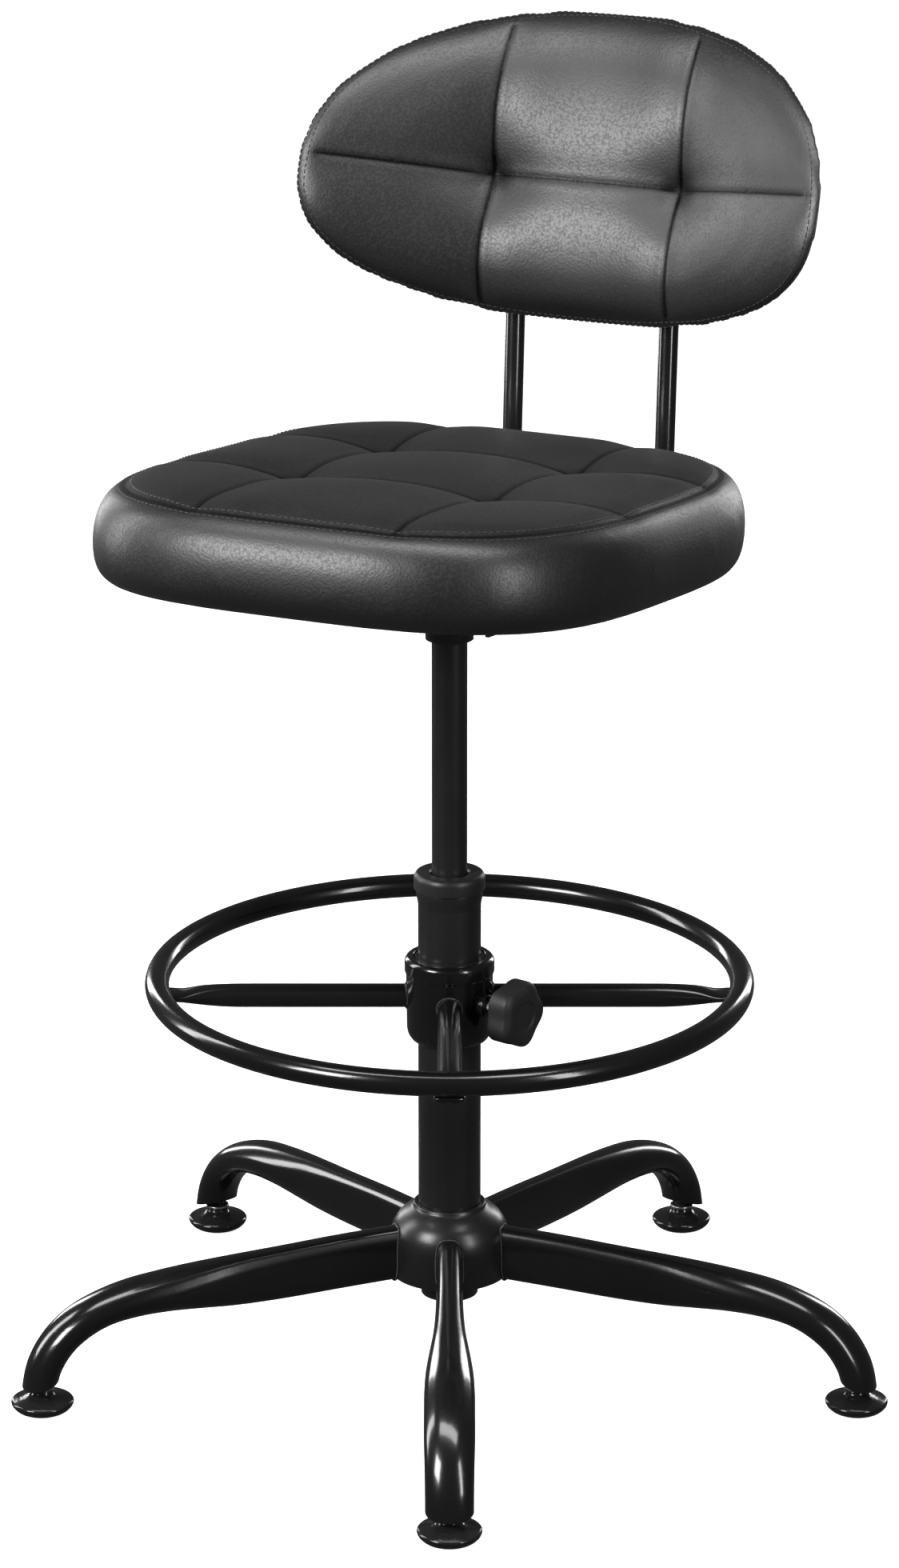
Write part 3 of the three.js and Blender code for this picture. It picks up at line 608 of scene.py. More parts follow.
class CHAIR_OT_base(bpy.types.Operator):
    """Hub, five bent tube legs, their welds and the glides"""
    bl_idname = "chair.base"
    bl_label = "Base"

    def execute(self, context):
        sizes = context.scene.chair_sizes
        finished("hub", lathe(fillet(HUB_SHELL + HUB_BORE)), "gloss_black_paint", "base", ["base_hub"], sharp=50,
                 tool="column_paint")
        welds = []
        for i in range(5):
            turn = turned_to(BASE_TURN + math.radians(72 * i))
            leg = new_object("leg", leg_mesh())
            leg.data.transform(turn)
            baked(leg, ("SOLIDIFY", {"thickness": 0.0018, "offset": -1.0}),
                  ("BEVEL", {"width": 0.0005, "segments": 2, "angle_limit": math.radians(60)}))
            finished(f"tube_leg_{i + 1}", leg, "gloss_black_paint", "base", [f"leg_{i + 1}"], sharp=60)
            place = turned_to(BASE_TURN + math.radians(72 * i), GLIDE_REACH)
            glide = lathe(fillet(GLIDE_FORM, closed=False), 72, place, closed=False)
            finished(f"floor_glide_{i + 1}", glide, "glide_plastic", "base", [f"glide_{i + 1}"], sharp=70)
            finished(f"glide_collar_{i + 1}", lathe(fillet(GLIDE_NUT), 48, place), "steel", "base", sharp=50)
            welds.append(([turn @ p for p in weld_path(LEG_LINE, 0.048, HUB_SHELL, 0.0004)], True))
        mesh = beads_along(welds, sizes.weld_pitch, 0.0026, 0.0024, finish_for("gloss_black_paint"))
        finished("leg_welds", mesh, "gloss_black_paint", "base")
        return {"FINISHED"}


# ------------------------------------------------------------------ gas lift

class CHAIR_OT_gas_lift(bpy.types.Operator):
    """Outer tube with its collar, and the sliding cylinder"""
    bl_idname = "chair.gas_lift"
    bl_label = "Gas Lift"

    def execute(self, context):
        tube = [
            (0.0229, 0.057, 0.0008), (0.025, 0.136, 0.0), (0.025, 0.3885, 0.001), (0.0264, 0.3960, 0.003),
            (0.0264, 0.401, 0.0006), (0.0232, 0.401, 0.0003), (0.0232, 0.136, 0.0), (0.0212, 0.064, 0.0005),
            (0.0063, 0.064, 0.0003), (0.0063, 0.060, 0.0003), (0.021, 0.060, 0.0003), (0.021, 0.057, 0.0005)]
        finished("column_tube", lathe(fillet(tube)), "column_paint", "base", ["outer_tube"], sharp=50)
        bush = [
            (0.0144, 0.340), (0.0229, 0.340), (0.0229, 0.4013), (0.0283, 0.4013, 0.0008),
            (0.0283, 0.4115, 0.002), (0.0262, 0.4150, 0.002), (0.0170, 0.4150, 0.0012), (0.0144, 0.4130, 0.0006)]
        finished("column_collar", lathe(fillet(bush)), "black_plastic", "base", ["guide_bush"], sharp=50)
        cylinder = [
            (0.0056, 0.330), (0.0132, 0.330, 0.0008), (0.014, 0.3315, 0.0008), (0.014, 0.608, 0.0),
            (0.0135, 0.649, 0.0008), (0.0035, 0.649), (0.0035, 0.629), (0.0123, 0.629), (0.0123, 0.336),
            (0.0056, 0.336)]
        finished("lift_cylinder", lathe(fillet(cylinder)), "column_paint", "seat", ["pressure_cylinder"], sharp=50)
        return {"FINISHED"}


# ------------------------------------------------------------------ foot ring

RING_R, RING_TUBE, RING_Z, SPOKE_Z, KNOB_Z = 0.2317, 0.00965, 0.3246, 0.311, 0.310
RING_SHELL = [
    (0.030, 0.276, 0.001), (0.033, 0.280, 0.002), (0.034, 0.285, 0.003), (0.0346, 0.3305, 0.001),
    (0.0357, 0.3325, 0.0008), (0.0357, 0.3420, 0.0020), (0.0332, 0.345, 0.0014),
]


def spoke_line():
    flat_top = RING_Z - RING_TUBE - 0.0004
    return [
        [0.030, SPOKE_Z, 0.0095, 0.0095, 2], [0.080, SPOKE_Z, 0.0095, 0.0095, 2],
        [0.150, SPOKE_Z, 0.0095, 0.0095, 2], [0.176, SPOKE_Z, 0.0097, 0.0092, 2],
        [0.196, SPOKE_Z + 0.0002, 0.0107, 0.0074, 2.1], [0.212, flat_top - 0.0036, 0.0126, 0.0036, 2.6],
        [0.222, flat_top - 0.0030, 0.0127, 0.0030, 3], [0.229, flat_top - 0.0030, 0.0120, 0.0029, 3],
        [0.232, flat_top - 0.0030, 0.0104, 0.0024, 2.6],
    ]


def knob_mesh():
    """Lobed hand knob on its screw's axis, with a neck, rounded rims and a dished face."""
    profile = fillet([
        (0.0, 0.0455), (0.0098, 0.0455, 0.001), (0.0104, 0.0535, 0.0015), (0.0195, 0.0540, 0.002),
        (0.0256, 0.0562, 0.004), (0.0256, 0.0735, 0.004), (0.0195, 0.0762, 0.002),
        (0.0130, 0.0762, 0.0015), (0.0110, 0.0748, 0.001), (0.0, 0.0748)], steps=6, closed=False)
    around, rings = 120, []
    for radius, along in profile:
        ring = []
        for j in range(around):
            angle = 2 * math.pi * j / around
            lobe = 1.0 + 0.07 * math.cos(5 * angle + 0.5) * min(max((radius - 0.0115) / 0.008, 0.0), 1.0)
            ring.append(Vector((along, radius * lobe * math.cos(angle), radius * lobe * math.sin(angle))))
        rings.append(ring)
    mesh = skin_mesh(rings, capped=False)
    mesh.transform(turned_to(KNOB_TURN) @ Matrix.Translation((0, 0, KNOB_Z)))
    return mesh


class CHAIR_OT_foot_ring(bpy.types.Operator):
    """Tube ring, four spokes pressed flat under it, its clamping hub and the knob"""
    bl_idname = "chair.foot_ring"
    bl_label = "Foot Ring"

    def execute(self, context):
        sizes = context.scene.chair_sizes
        rings = []
        for i in range(192):
            turn = Matrix.Rotation(2 * math.pi * i / 192, 4, "Z")
            rings.append([
                turn @ Vector((RING_R + RING_TUBE * math.cos(2 * math.pi * j / 32), 0,
                               RING_Z + RING_TUBE * math.sin(2 * math.pi * j / 32))) for j in range(32)])
        mesh = skin_mesh(rings, closed=True)
        mesh.transform(Matrix.Translation(AXIS))
        finished("ring_tube", mesh, "gloss_black_paint", "foot_ring_frame", ["foot_ring"])
        shell = lathe(fillet(RING_SHELL + [(0.0287, 0.345, 0.0008), (0.0287, 0.276, 0.0005)]))
        finished("ring_collar", shell, "gloss_black_paint", "foot_ring_frame", ["ring_hub"], sharp=50)
        boss = lathe(fillet([
            (0.0058, 0.0335), (0.009, 0.0335), (0.009, 0.039, 0.0008), (0.0045, 0.039), (0.0045, 0.0352),
            (0.0058, 0.0352)]),
                     48, turned_to(KNOB_TURN) @ Matrix.Translation((0, 0, KNOB_Z))
                     @ Matrix.Rotation(math.radians(90), 4, "Y"))
        finished("clamp_boss", boss, "gloss_black_paint", "foot_ring_frame", sharp=50)
        welds = []
        for i in range(4):
            turn = turned_to(SPOKE_TURN + math.radians(90 * i))
            mesh = skin_mesh(bar_rings(eased(spoke_line(), 8), 40))
            mesh.transform(turn)
            finished(f"spoke_tube_{i + 1}", mesh, "gloss_black_paint", "foot_ring_frame", [f"spoke_{i + 1}"])
            welds.append(([turn @ p for p in weld_path(spoke_line(), 0.035, RING_SHELL, 0.0003)], True))
            for side in (-1, 1):
                welds.append(([turn @ Vector((RING_R - 0.0078 + 0.0005 * k, side * (0.0119 - 0.0001 * k),
                                              RING_Z - RING_TUBE - 0.0006 + 0.0002 * (k - 8) ** 2 * 0.05))
                               for k in range(12)], False))
        mesh = beads_along(welds, sizes.weld_pitch, 0.0021, 0.0021, finish_for("gloss_black_paint"))
        finished("spoke_welds", mesh, "gloss_black_paint", "foot_ring_frame")
        finished("hand_knob", knob_mesh(), "knob_plastic", "knob", ["clamp_knob"], sharp=60)
        return {"FINISHED"}


# ------------------------------------------------------------------ places of the upper half

def leaned(x, y, z):
    """Place of a point of the level seat once the seat has leaned back."""
    c, s = math.cos(SEAT_LEAN), math.sin(SEAT_LEAN)
    return AXIS + Vector((x, y * c + (z - PLATE_TOP) * s, PLATE_TOP - y * s + (z - PLATE_TOP) * c))


BACK_CURVE_R = 0.275                       # the backrest curves round the sitter


def on_back(u, v, w):
    """Place on the curved backrest: u across, v up its face, w forward from it."""
    forward = w + u * u / (2 * BACK_CURVE_R)
    c, s = math.cos(BACK_LEAN), math.sin(BACK_LEAN)
    return AXIS + BACK_FOOT + Vector((u, v * s - forward * c, v * c + forward * s))


# ------------------------------------------------------------------ seat and back frame

BAR_X, BAR_R, BAR_Z, BEND_R = 0.0675, 0.008, 0.655, 0.038
BAR_UPRIGHT_Y, BAR_UPRIGHT_Z = 0.272, 0.690    # a point on the upright part of the bar
BAR_LEAN = 3.6                                 # its lean in degrees
BACK_BAR_W = -0.049
LEVER_TOP, LEVER_LOW = 0.6566, 0.640           # heights of the lever's inner end and of its handle


def bar_line():
    """Centre-line of a back bar in the YZ plane, from under the seat to its top in the backrest."""
    start, end = -SEAT_LEAN, math.radians(90 - BAR_LEAN)
    foot = leaned(0, 0.100, BAR_Z) - AXIS
    swing = (BEND_R * (math.sin(end) - math.sin(start)), BEND_R * (math.cos(start) - math.cos(end)))
    short = (BAR_UPRIGHT_Y - foot.y - swing[0], BAR_UPRIGHT_Z - foot.z - swing[1])
    run = (short[0] * math.sin(end) - short[1] * math.cos(end)) / math.sin(end - start)
    bend = (foot.y + run * math.cos(start), foot.z + run * math.sin(start))
    line = [(foot.y + (bend[0] - foot.y) * t, foot.z + (bend[1] - foot.z) * t) for t in (0, 0.35, 0.7, 0.95)]
    for i in range(17):
        angle = start + (end - start) * i / 16
        line.append((bend[0] + BEND_R * (math.sin(angle) - math.sin(start)),
                     bend[1] + BEND_R * (math.cos(start) - math.cos(angle))))
    for v in (-0.106, -0.083, -0.060, -0.028, 0.0025, 0.004):
        point = on_back(0, v, BACK_BAR_W) - AXIS
        line.append((point.y, point.z))
    return line


def back_bar_mesh(side):
    line = bar_line()
    stations = [[y, z, BAR_R, BAR_R, 2] for y, z in line]
    for end in (0, -1):
        stations[end][2:4] = [BAR_R - 0.0008] * 2
    mesh = skin_mesh(bar_rings(stations, 40))
    place = Matrix.Translation(AXIS + Vector((side * BAR_X, 0, 0)))
    mesh.transform(place @ Matrix.Rotation(math.radians(90), 4, "Z"))
    return mesh


class CHAIR_OT_seat_frame(bpy.types.Operator):
    """Back bars, release lever and the finishes of the mechanism and hidden hardware"""
    bl_idname = "chair.seat_frame"
    bl_label = "Seat Frame"

    def execute(self, context):
        for side, word in ((-1, "right"), (1, "left")):
            finished(f"steel_bar_{word}", back_bar_mesh(side), "frame_paint", "seat", [f"back_bar_{word}"])
        rod = [[x, z, 0.0035, 0.0035, 2] for x, z in (
            (-0.004, LEVER_TOP), (0.018, LEVER_TOP), (0.038, LEVER_TOP), (0.052, 0.6545), (0.072, 0.6460),
            (0.086, 0.6415), (0.100, LEVER_LOW), (0.150, LEVER_LOW), (0.195, LEVER_LOW))]
        grip = [[x, LEVER_LOW, wide, high, power] for x, wide, high, power in (
            (0.1395, 0.0050, 0.0040, 2), (0.1400, 0.0068, 0.0049, 2), (0.150, 0.0098, 0.0053, 2.4),
            (0.165, 0.0122, 0.0050, 2.5), (0.180, 0.0138, 0.0051, 2.6), (0.198, 0.0136, 0.0053, 2.6),
            (0.206, 0.0120, 0.0046, 2.4), (0.2096, 0.0085, 0.0030, 2.2))]
        for name, line, around, slot, node in (
                ("lever_arm", rod, 24, "steel", "lever_rod"),
                ("lever_paddle", grip, 40, "knob_plastic", "lever_grip")):
            mesh = skin_mesh(bar_rings(eased(line, 6), around))
            mesh.transform(turned_to(math.pi))
            finished(name, mesh, slot, "release_lever", [node])
        slots = {s["node"]: s["material_slot"] for s in frame["record"]["subparts"]}
        for name, node in frame["nodes"].items():
            if node.hide_render:
                continue
            node.data.materials.clear()
            node.data.materials.append(finish_for(slots[name]))
        return {"FINISHED"}


# ------------------------------------------------------------------ pads

def smoothed(mesh, rounds):
    with opened(mesh) as work:
        for _ in range(rounds):
            bmesh.ops.smooth_vert(
                work, verts=work.verts, factor=0.5, use_axis_x=True, use_axis_y=True, use_axis_z=True)


FILL_STEPS = 20


def filled(mesh, voxel, shape, held, pressure, limit):
    """Blows a closed cover up as cloth: `shape` presses its seams in, `held` says how firmly a point stays."""
    piece = new_object("cover", mesh)
    baked(piece, ("REMESH", {"mode": "VOXEL", "voxel_size": voxel}))
    smoothed(piece.data, 2)
    for vertex in piece.data.vertices:
        vertex.co = shape(vertex.co)
    start = [vertex.co.copy() for vertex in piece.data.vertices]
    group = piece.vertex_groups.new(name="held")
    for vertex in piece.data.vertices:
        group.add([vertex.index], held(vertex.co), "REPLACE")
    cloth = piece.modifiers.new("Cloth", "CLOTH")
    rules = cloth.settings
    rules.quality, rules.mass = 4, 0.3
    rules.tension_stiffness = rules.compression_stiffness = 18.0
    rules.shear_stiffness, rules.bending_stiffness = 8.0, 1.2
    rules.use_pressure, rules.uniform_pressure_force = True, pressure
    rules.vertex_group_mass = "held"
    rules.effector_weights.gravity = 0.0
    cloth.point_cache.frame_start, cloth.point_cache.frame_end = 1, FILL_STEPS
    for step in range(1, FILL_STEPS + 1):
        bpy.context.scene.frame_set(step)
    graph = bpy.context.evaluated_depsgraph_get()
    settled = piece.evaluated_get(graph).to_mesh()
    moved = [vertex.co.copy() for vertex in settled.vertices]
    piece.evaluated_get(graph).to_mesh_clear()
    piece.modifiers.clear()
    piece.vertex_groups.clear()
    bpy.context.scene.frame_set(1)
    for vertex, old, new in zip(piece.data.vertices, start, moved):
        shift = new - old
        vertex.co = old + shift * min(1.0, limit / max(shift.length, 1e-9))
    smoothed(piece.data, 8)
    return piece


def mapped(mesh, place):
    for vertex in mesh.vertices:
        vertex.co = place(*vertex.co)
    mesh.update()
    return mesh


def paint_seam_shade(mesh, shade_at):
    """Stores how deep each point lies in a seam or by a tuft, as painted shade for the covering's colour and
    metallic.
    """
    seam = mesh.attributes.new("seam", "FLOAT", "POINT")
    seam.data.foreach_set("value", [min(1.0, shade_at(vertex.co)) for vertex in mesh.vertices])


def bump_out(distance, width):
    return math.exp(-(distance / width) ** 2)


def surface_of(mesh):
    """Search tree of a cover, for finding places on it."""
    work = bmesh.new()
    work.from_mesh(mesh)
    tree = BVHTree.FromBMesh(work)
    work.free()
    return tree


STITCH_LIFT = 0.0002


def laid_on(cover, outline):
    """Drops an outline's points straight down on a cover and lifts them a little off it."""
    down = Vector((0, 0, -1))
    hits = [cover.ray_cast(point - down * 0.2, down)[0] for point in outline]
    return [hit - down * STITCH_LIFT for hit in hits if hit is not None]


def sew(name, rows, place, slot, sizes):
    """Stitches along closed rows on a pad, then put in the pad's place."""
    sewn = beads_along([(row, True) for row in rows], sizes.stitch_pitch, sizes.thread_radius * 2,
                       sizes.stitch_pitch * 0.78, finish_for("sewing_thread"))
    finished(name, mapped(sewn, place), slot, "seat", tool="sewing_thread")


SEAT_MID_Y, SEAT_HALF_X, SEAT_HALF_Y, SEAT_POWER = -0.048, 0.214, 0.260, 3.3
SEAT_TUFT_Y = (-0.112, 0.051)
SEAT_RIM_X, SEAT_RIM_Y = 0.193, 0.239      # border seam of the seat


def seat_outline(half_x, half_y, count, height):
    return [Vector((x, y + SEAT_MID_Y, height)) for x, y in oval(count, half_x, half_y, SEAT_POWER)]


def seat_lines(x, y, spread):
    """Distance to the nearest sewn line, nearest tuft and border seam, in metres."""
    share = ((abs(x) / SEAT_RIM_X) ** SEAT_POWER
             + (abs(y - SEAT_MID_Y) / SEAT_RIM_Y) ** SEAT_POWER) ** (1 / SEAT_POWER)
    rim = (share - 1.0) * 0.205
    across = min(abs(abs(x) - spread), *(abs(y - t) for t in SEAT_TUFT_Y))
    tuft = min(math.hypot(abs(x) - spread, y - t) for t in SEAT_TUFT_Y)
    return across, tuft, rim


def seat_cover_form():
    profile = [
        (0.02, 0.7475), (0.25, 0.7475), (0.5, 0.7472), (0.7, 0.7464), (0.82, 0.7444), (0.90, 0.7402),
        (0.952, 0.7330), (0.982, 0.7220), (0.997, 0.7080), (0.999, 0.6930), (0.992, 0.6790), (0.970, 0.6690),
        (0.935, 0.6648), (0.89, 0.6655), (0.885, 0.6810), (0.02, 0.6810)]
    rings = []
    for share, height in eased(profile, 3):
        fuller = max(0.0, min(1.0, (height - 0.69) / 0.04))
        rings.append([
            Vector((p.x, p.y, height + 0.006 * fuller * max(0.0, p.y / 0.2)))
            for p in seat_outline(SEAT_HALF_X * share, SEAT_HALF_Y * share, 128, height)])
    return skin_mesh(rings)


class CHAIR_OT_seat_pad(bpy.types.Operator):
    """Tufted seat pad filled as cloth, its border stitching, the dust cloth and its staples"""
    bl_idname = "chair.seat_pad"
    bl_label = "Seat Pad"

    def execute(self, context):
        sizes = context.scene.chair_sizes
        spread = sizes.tuft_spread

        def pressed(co):
            if co.z < 0.7:
                return co
            across, tuft, rim = seat_lines(co.x, co.y, spread)
            inside = 1.0 if rim < 0 else 0.0
            depth = inside * (0.0034 * bump_out(across, 0.014) + 0.0085 * bump_out(tuft, 0.034))
            return Vector((co.x, co.y, co.z - depth - 0.0012 * bump_out(rim, 0.008)))

        def held(co):
            if co.z < 0.672:
                return 1.0
            if co.z < 0.690:
                return 0.35 * (0.690 - co.z) / 0.018
            across, tuft, rim = seat_lines(co.x, co.y, spread)
            if co.z < 0.705 or rim > 0.008:
                return 0.0
            firm = max(bump_out(tuft, 0.007), 0.85 * bump_out(across, 0.0035) if rim < 0 else 0.0)
            return max(firm, 0.75 * bump_out(rim, 0.004))

        piece = filled(seat_cover_form(), 0.0052, pressed, held, sizes.seat_puff, sizes.swell_limit)
        baked(piece, ("SUBSURF", {"levels": 1, "render_levels": 1}))
        for vertex in piece.data.vertices:
            co = vertex.co
            if co.z > 0.7:
                across, tuft, rim = seat_lines(co.x, co.y, spread)
                seam = bump_out(across, 0.0026) if rim < 0 else 0.0
                co.z -= 0.0010 * max(seam, bump_out(rim, 0.0026)) + 0.0030 * bump_out(tuft, 0.010)
            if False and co.z > 0.7:
                co.z += 0.008 * (1 - bump_out(across, 0.030)) * (rim < 0)

        # Painted shade: near-black, metallic bands along the sewn lines and border seam, and a wider soft patch
        # round each tuft.
        def seam_and_tuft_shade(co):
            across, tuft, rim = seat_lines(co.x, co.y, spread)
            line = bump_out(across, 0.0020) if rim < 0 else 0.0
            return (max(line, 0.8 * bump_out(rim, 0.0018)) + 0.4 * bump_out(tuft, 0.013)) * (co.z > 0.71)

        paint_seam_shade(piece.data, seam_and_tuft_shade)
        cover = surface_of(piece.data)
        sew("seat_stitches",
            [laid_on(cover, seat_outline(SEAT_RIM_X + inset, SEAT_RIM_Y + inset, 420, 0.72))
             for inset in (-0.0042, 0.0042)], leaned, "seat_leatherette", sizes)
        mapped(piece.data, leaned)
        finished("seat_cushion", piece, "seat_leatherette", "seat", ["seat_pad"])
        self.underside(sizes)
        return {"FINISHED"}

    def underside(self, sizes):
        rings = [seat_outline(SEAT_HALF_X * share, SEAT_HALF_Y * share, 128, height) for share, height in (
            (0.02, 0.6645), (0.5, 0.6645), (0.84, 0.6647), (0.868, 0.6650), (0.870, 0.6655),
            (0.868, 0.6660), (0.5, 0.6660), (0.02, 0.6660))]
        finished("dust_cloth", mapped(skin_mesh(rings), leaned), "cover_plastic", "seat", ["seat_cover"], sharp=60)
        outline = seat_outline(SEAT_HALF_X * 0.835, SEAT_HALF_Y * 0.835, 200, 0.6643)
        staples = beads_along([(outline, True)], 0.034, 0.0011, 0.0115, finish_for("steel"))
        finished("staples", mapped(staples, leaned), "steel", "seat")


# ------------------------------------------------------------------ backrest

BACK_HALF_U, BACK_MID_V, BACK_RISE, BACK_DROP = 0.223, -0.010, 0.150, 0.100
BACK_TOP_POWER, BACK_LOW_POWER = 2.1, 2.8  # squareness of the outline above and below its middle


def back_ring(share, depth, around=128):
    made = []
    for j in range(around):
        c, s = math.cos(2 * math.pi * j / around), math.sin(2 * math.pi * j / around)
        power = BACK_TOP_POWER if s > 0 else BACK_LOW_POWER
        rise = (BACK_RISE if s > 0 else BACK_DROP) * share * abs(s) ** (2 / power)
        made.append(Vector((BACK_HALF_U * share * math.copysign(abs(c) ** (2 / power), c),
                            BACK_MID_V + math.copysign(rise, s), depth)))
    return made


def back_share(u, v):
    half, power = (BACK_RISE, BACK_TOP_POWER) if v > BACK_MID_V else (BACK_DROP, BACK_LOW_POWER)
    return ((abs(u) / BACK_HALF_U) ** power + (abs(v - BACK_MID_V) / half) ** power) ** (1 / power)


def back_lines(u, v, spread):
    share = back_share(u, v)
    rim = (share - 0.985) * 0.17
    return min(abs(abs(u) - spread), abs(v)), math.hypot(abs(u) - spread, v), rim


class CHAIR_OT_back_pad(bpy.types.Operator):
    """Tufted back pad filled as cloth and bent round the sitter, its stitching and the rear shell"""
    bl_idname = "chair.back_pad"
    bl_label = "Back Pad"

    def execute(self, context):
        sizes = context.scene.chair_sizes
        spread = sizes.tuft_spread

        def pressed(co):
            if co.z < -0.022:
                return co
            across, tuft, rim = back_lines(co.x, co.y, spread)
            ease = min(1.0, (co.z + 0.022) / 0.012)
            depth = ease * (0.0034 * bump_out(across, 0.016) + 0.0140 * bump_out(tuft, 0.036))
            return Vector((co.x, co.y, co.z - depth))

        def held(co):
            if co.z < -0.0255:
                return 1.0
            across, tuft, rim = back_lines(co.x, co.y, spread)
            fade = min(1.0, max(0.0, -rim / 0.012))
            return max(bump_out(tuft, 0.007), 0.85 * fade * bump_out(across, 0.0035))

        profile = [
            (0.02, 0.0055), (0.3, 0.0052), (0.5, 0.0038), (0.68, 0.0004), (0.80, -0.0045), (0.885, -0.0100),
            (0.945, -0.0158), (0.985, -0.0215), (1.000, -0.0258), (0.990, -0.0288), (0.96, -0.0296),
            (0.02, -0.0296)]
        form = skin_mesh([back_ring(share, depth) for share, depth in eased(profile, 3)])
        piece = filled(form, 0.0048, pressed, held, sizes.back_puff, sizes.swell_limit)
        baked(piece, ("SUBSURF", {"levels": 1, "render_levels": 1}))
        for vertex in piece.data.vertices:
            co = vertex.co
            if co.z > -0.018:
                across, tuft, rim = back_lines(co.x, co.y, spread)
                fade = min(1.0, max(0.0, -rim / 0.012))
                co.z -= 0.0010 * fade * bump_out(across, 0.0028) + 0.0040 * bump_out(tuft, 0.011)

        # Painted shade: near-black, metallic bands along the sewn lines and a wider soft patch round each tuft,
        # fading out towards the border.
        def seam_and_tuft_shade(co):
            across, tuft, rim = back_lines(co.x, co.y, spread)
            fade = min(1.0, max(0.0, -rim / 0.010))
            return (fade * bump_out(across, 0.0020) + 0.5 * bump_out(tuft, 0.016)) * (co.z > -0.024)

        paint_seam_shade(piece.data, seam_and_tuft_shade)
        cover = surface_of(piece.data)
        rows = []
        for depth in (-0.0205, -0.0262):
            middle, row = Vector((0.0, BACK_MID_V, depth)), []
            for p in back_ring(1.0, depth, 360):
                hit = cover.ray_cast(middle + (p - middle) * 1.3, (middle - p).normalized())
                row.append(hit[0] + (p - middle).normalized() * STITCH_LIFT)
            rows.append(row)
        sew("back_stitches", rows, on_back, "back_leatherette", sizes)
        mapped(piece.data, on_back)
        finished("back_cushion", piece, "back_leatherette", "seat", ["back_pad"])
        section = [
            (0.02, -0.0770), (0.3, -0.0768), (0.5, -0.0760), (0.68, -0.0736), (0.78, -0.0708), (0.86, -0.0650),
            (0.92, -0.0560), (0.955, -0.0465), (0.968, -0.0370), (0.966, -0.0315), (0.955, -0.0302),
            (0.940, -0.0306), (0.944, -0.0365), (0.936, -0.0445), (0.900, -0.0535), (0.84, -0.0620),
            (0.77, -0.0680), (0.5, -0.0734), (0.02, -0.0744)]
        rings = [back_ring(share, depth, 160) for share, depth in eased(section, 4)]
        shell = mapped(skin_mesh(rings), on_back)
        finished("back_shell", shell, "back_leatherette", "seat", ["back_cover"], sharp=60)
        return {"FINISHED"}


# ------------------------------------------------------------------ stage

VIEW_TURN, VIEW_DIP = math.radians(24.5), math.radians(17.78)
VIEW_FROM = Vector((1.6488, -3.6180, 1.762))
VIEW_LENS = 122.36
# Name, place, aim, size and power of each soft light.
LIGHTS = (
    ("overhead", (0.1, -0.6, 3.0), (0, 0, 0.6), (2.8, 0.7), 55),
    ("key", (-1.35, -2.9, 2.1), (0, 0, 0.75), (1.3, 1.3), 115),
    ("left bank", (-3.0, -0.3, 1.6), (0, 0, 0.7), (0.7, 2.4), 50),
    ("right bank", (2.75, -1.2, 1.5), (0, 0, 0.7), (0.5, 2.0), 38),
    ("rear left strip", (-2.84, 1.88, 1.0), (0, 0, 0.5), (0.5, 1.6), 22),
    ("rear right strip", (0.44, 3.37, 1.0), (0, 0, 0.5), (0.5, 1.6), 22),
)


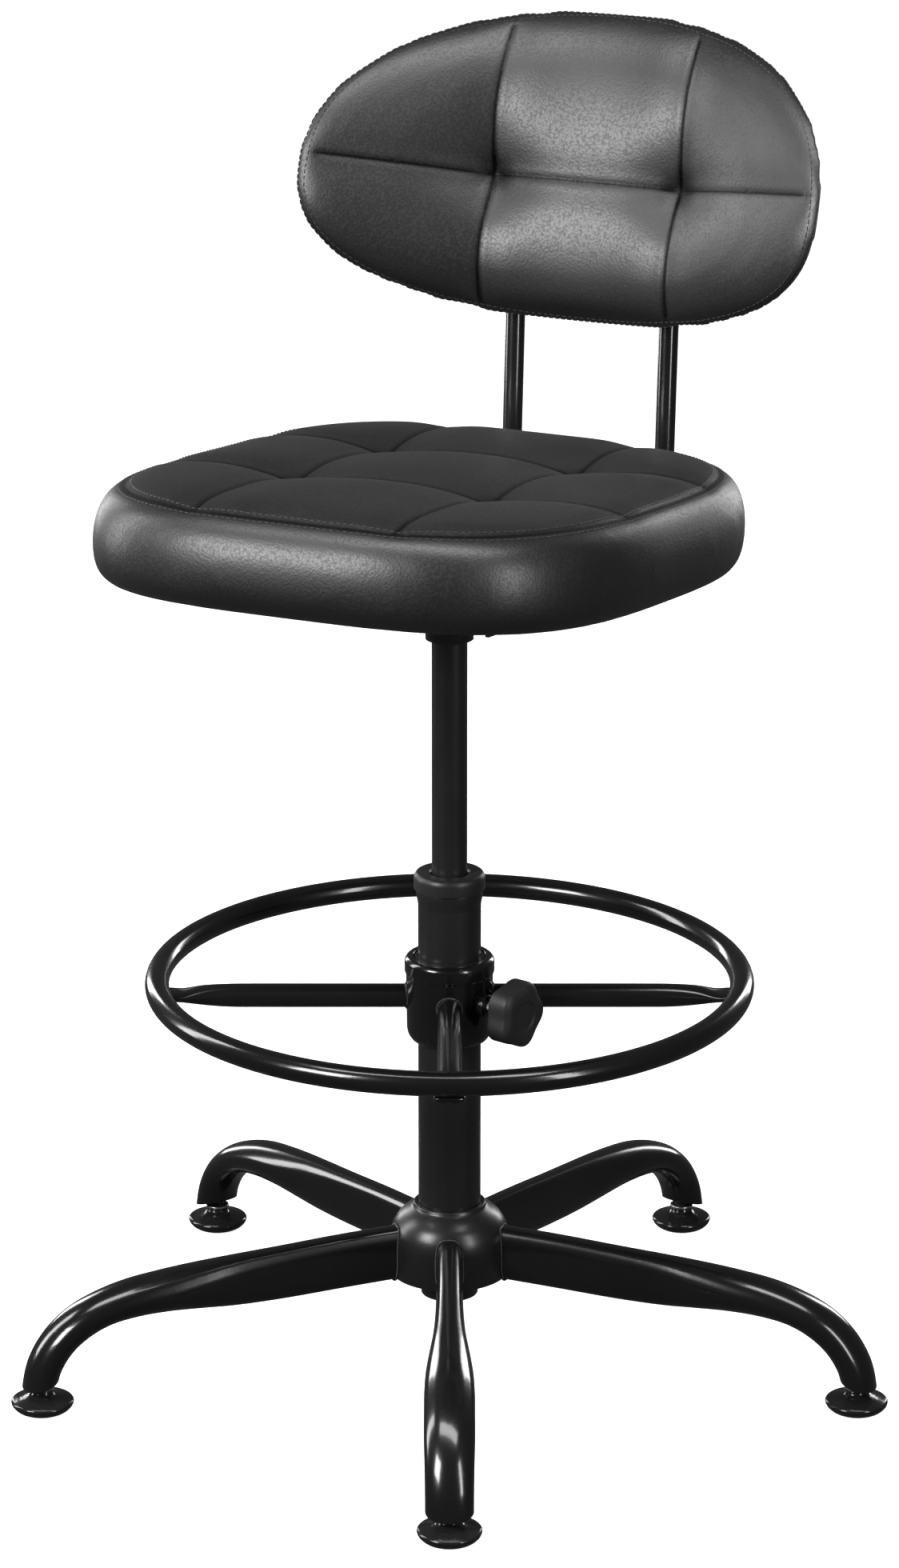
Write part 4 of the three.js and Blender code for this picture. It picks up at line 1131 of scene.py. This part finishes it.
class CHAIR_OT_stage(bpy.types.Operator):
    """Pale floor that curves up all round, soft studio light and the camera"""
    bl_idname = "chair.stage"
    bl_label = "Stage"

    def execute(self, context):
        scene = context.scene
        profile = [(12.0 + 4.0 * math.sin(math.radians(10 * k)), 4.0 - 4.0 * math.cos(math.radians(10 * k)))
                   for k in range(10)] + [(16.0, 12.0)]
        points = [(0.0, 0.0, 0.0)]
        for radius, height in profile:
            points += [(radius * math.cos(math.radians(5 * k)), radius * math.sin(math.radians(5 * k)), height)
                       for k in range(72)]
        faces = [(0, 1 + k, 1 + (k + 1) % 72) for k in range(72)]
        for row in range(len(profile) - 1):
            near, far = 1 + 72 * row, 1 + 72 * (row + 1)
            faces += [(near + k, far + k, far + (k + 1) % 72, near + (k + 1) % 72) for k in range(72)]
        mesh = bpy.data.meshes.new("cove")
        mesh.from_pydata(points, [], faces)
        floor = new_object("studio_floor", mesh)
        floor.data.shade_smooth()
        floor.data.materials.append(finish_for("studio_floor"))
        floor.visible_diffuse = floor.visible_glossy = False
        world = bpy.data.worlds.new("studio")
        world.use_nodes = True
        background = world.node_tree.nodes["Background"]
        background.inputs["Color"].default_value = (1.0, 1.0, 1.0, 1.0)
        background.inputs["Strength"].default_value = 0.07
        scene.world = world
        for name, place, aim, size, power in LIGHTS:
            light = bpy.data.lights.new(name, "AREA")
            light.shape, light.size, light.size_y, light.energy = "RECTANGLE", size[0], size[1], power
            lamp = bpy.data.objects.new(name, light)
            scene.collection.objects.link(lamp)
            lamp.visible_camera = False
            lamp.location = place
            lamp.rotation_euler = (Vector(aim) - Vector(place)).to_track_quat("-Z", "Y").to_euler()
        camera = bpy.data.cameras.new("camera")
        camera.lens, camera.sensor_width = VIEW_LENS, 36.0
        eye = bpy.data.objects.new("camera", camera)
        scene.collection.objects.link(eye)
        eye.location = AXIS + VIEW_FROM
        eye.rotation_euler = (math.radians(90) - VIEW_DIP, 0.0, VIEW_TURN)
        scene.camera = eye
        scene.view_settings.view_transform = "Standard"
        return {"FINISHED"}


STEPS = (CHAIR_OT_stage, CHAIR_OT_base, CHAIR_OT_gas_lift, CHAIR_OT_foot_ring, CHAIR_OT_seat_pad,
         CHAIR_OT_back_pad, CHAIR_OT_seat_frame)


class CHAIR_PT_panel(bpy.types.Panel):
    """Sizes, colours and the steps that build the chair"""
    bl_idname = "CHAIR_PT_panel"
    bl_label = "Drafting Chair"
    bl_space_type = "VIEW_3D"
    bl_region_type = "UI"
    bl_category = "Chair"

    def draw(self, context):
        for group in (context.scene.chair_sizes, context.scene.chair_colours):
            box = self.layout.box()
            for name in group.__annotations__:
                box.prop(group, name)
        for step in STEPS:
            self.layout.operator(step.bl_idname)


CLASSES = (ChairSizes, ChairColours, *STEPS, CHAIR_PT_panel)


def register():
    for made in CLASSES:
        bpy.utils.register_class(made)
    bpy.types.Scene.chair_sizes = PointerProperty(type=ChairSizes)
    bpy.types.Scene.chair_colours = PointerProperty(type=ChairColours)


def unregister():
    del bpy.types.Scene.chair_colours
    del bpy.types.Scene.chair_sizes
    for made in reversed(CLASSES):
        bpy.utils.unregister_class(made)


def main():
    register()
    bpy.ops.chair.stage()
    bpy.ops.chair.base()
    bpy.ops.chair.gas_lift()
    bpy.ops.chair.foot_ring()
    bpy.ops.chair.seat_pad()
    bpy.ops.chair.back_pad()
    bpy.ops.chair.seat_frame()


if __name__ == "__main__":
    main()
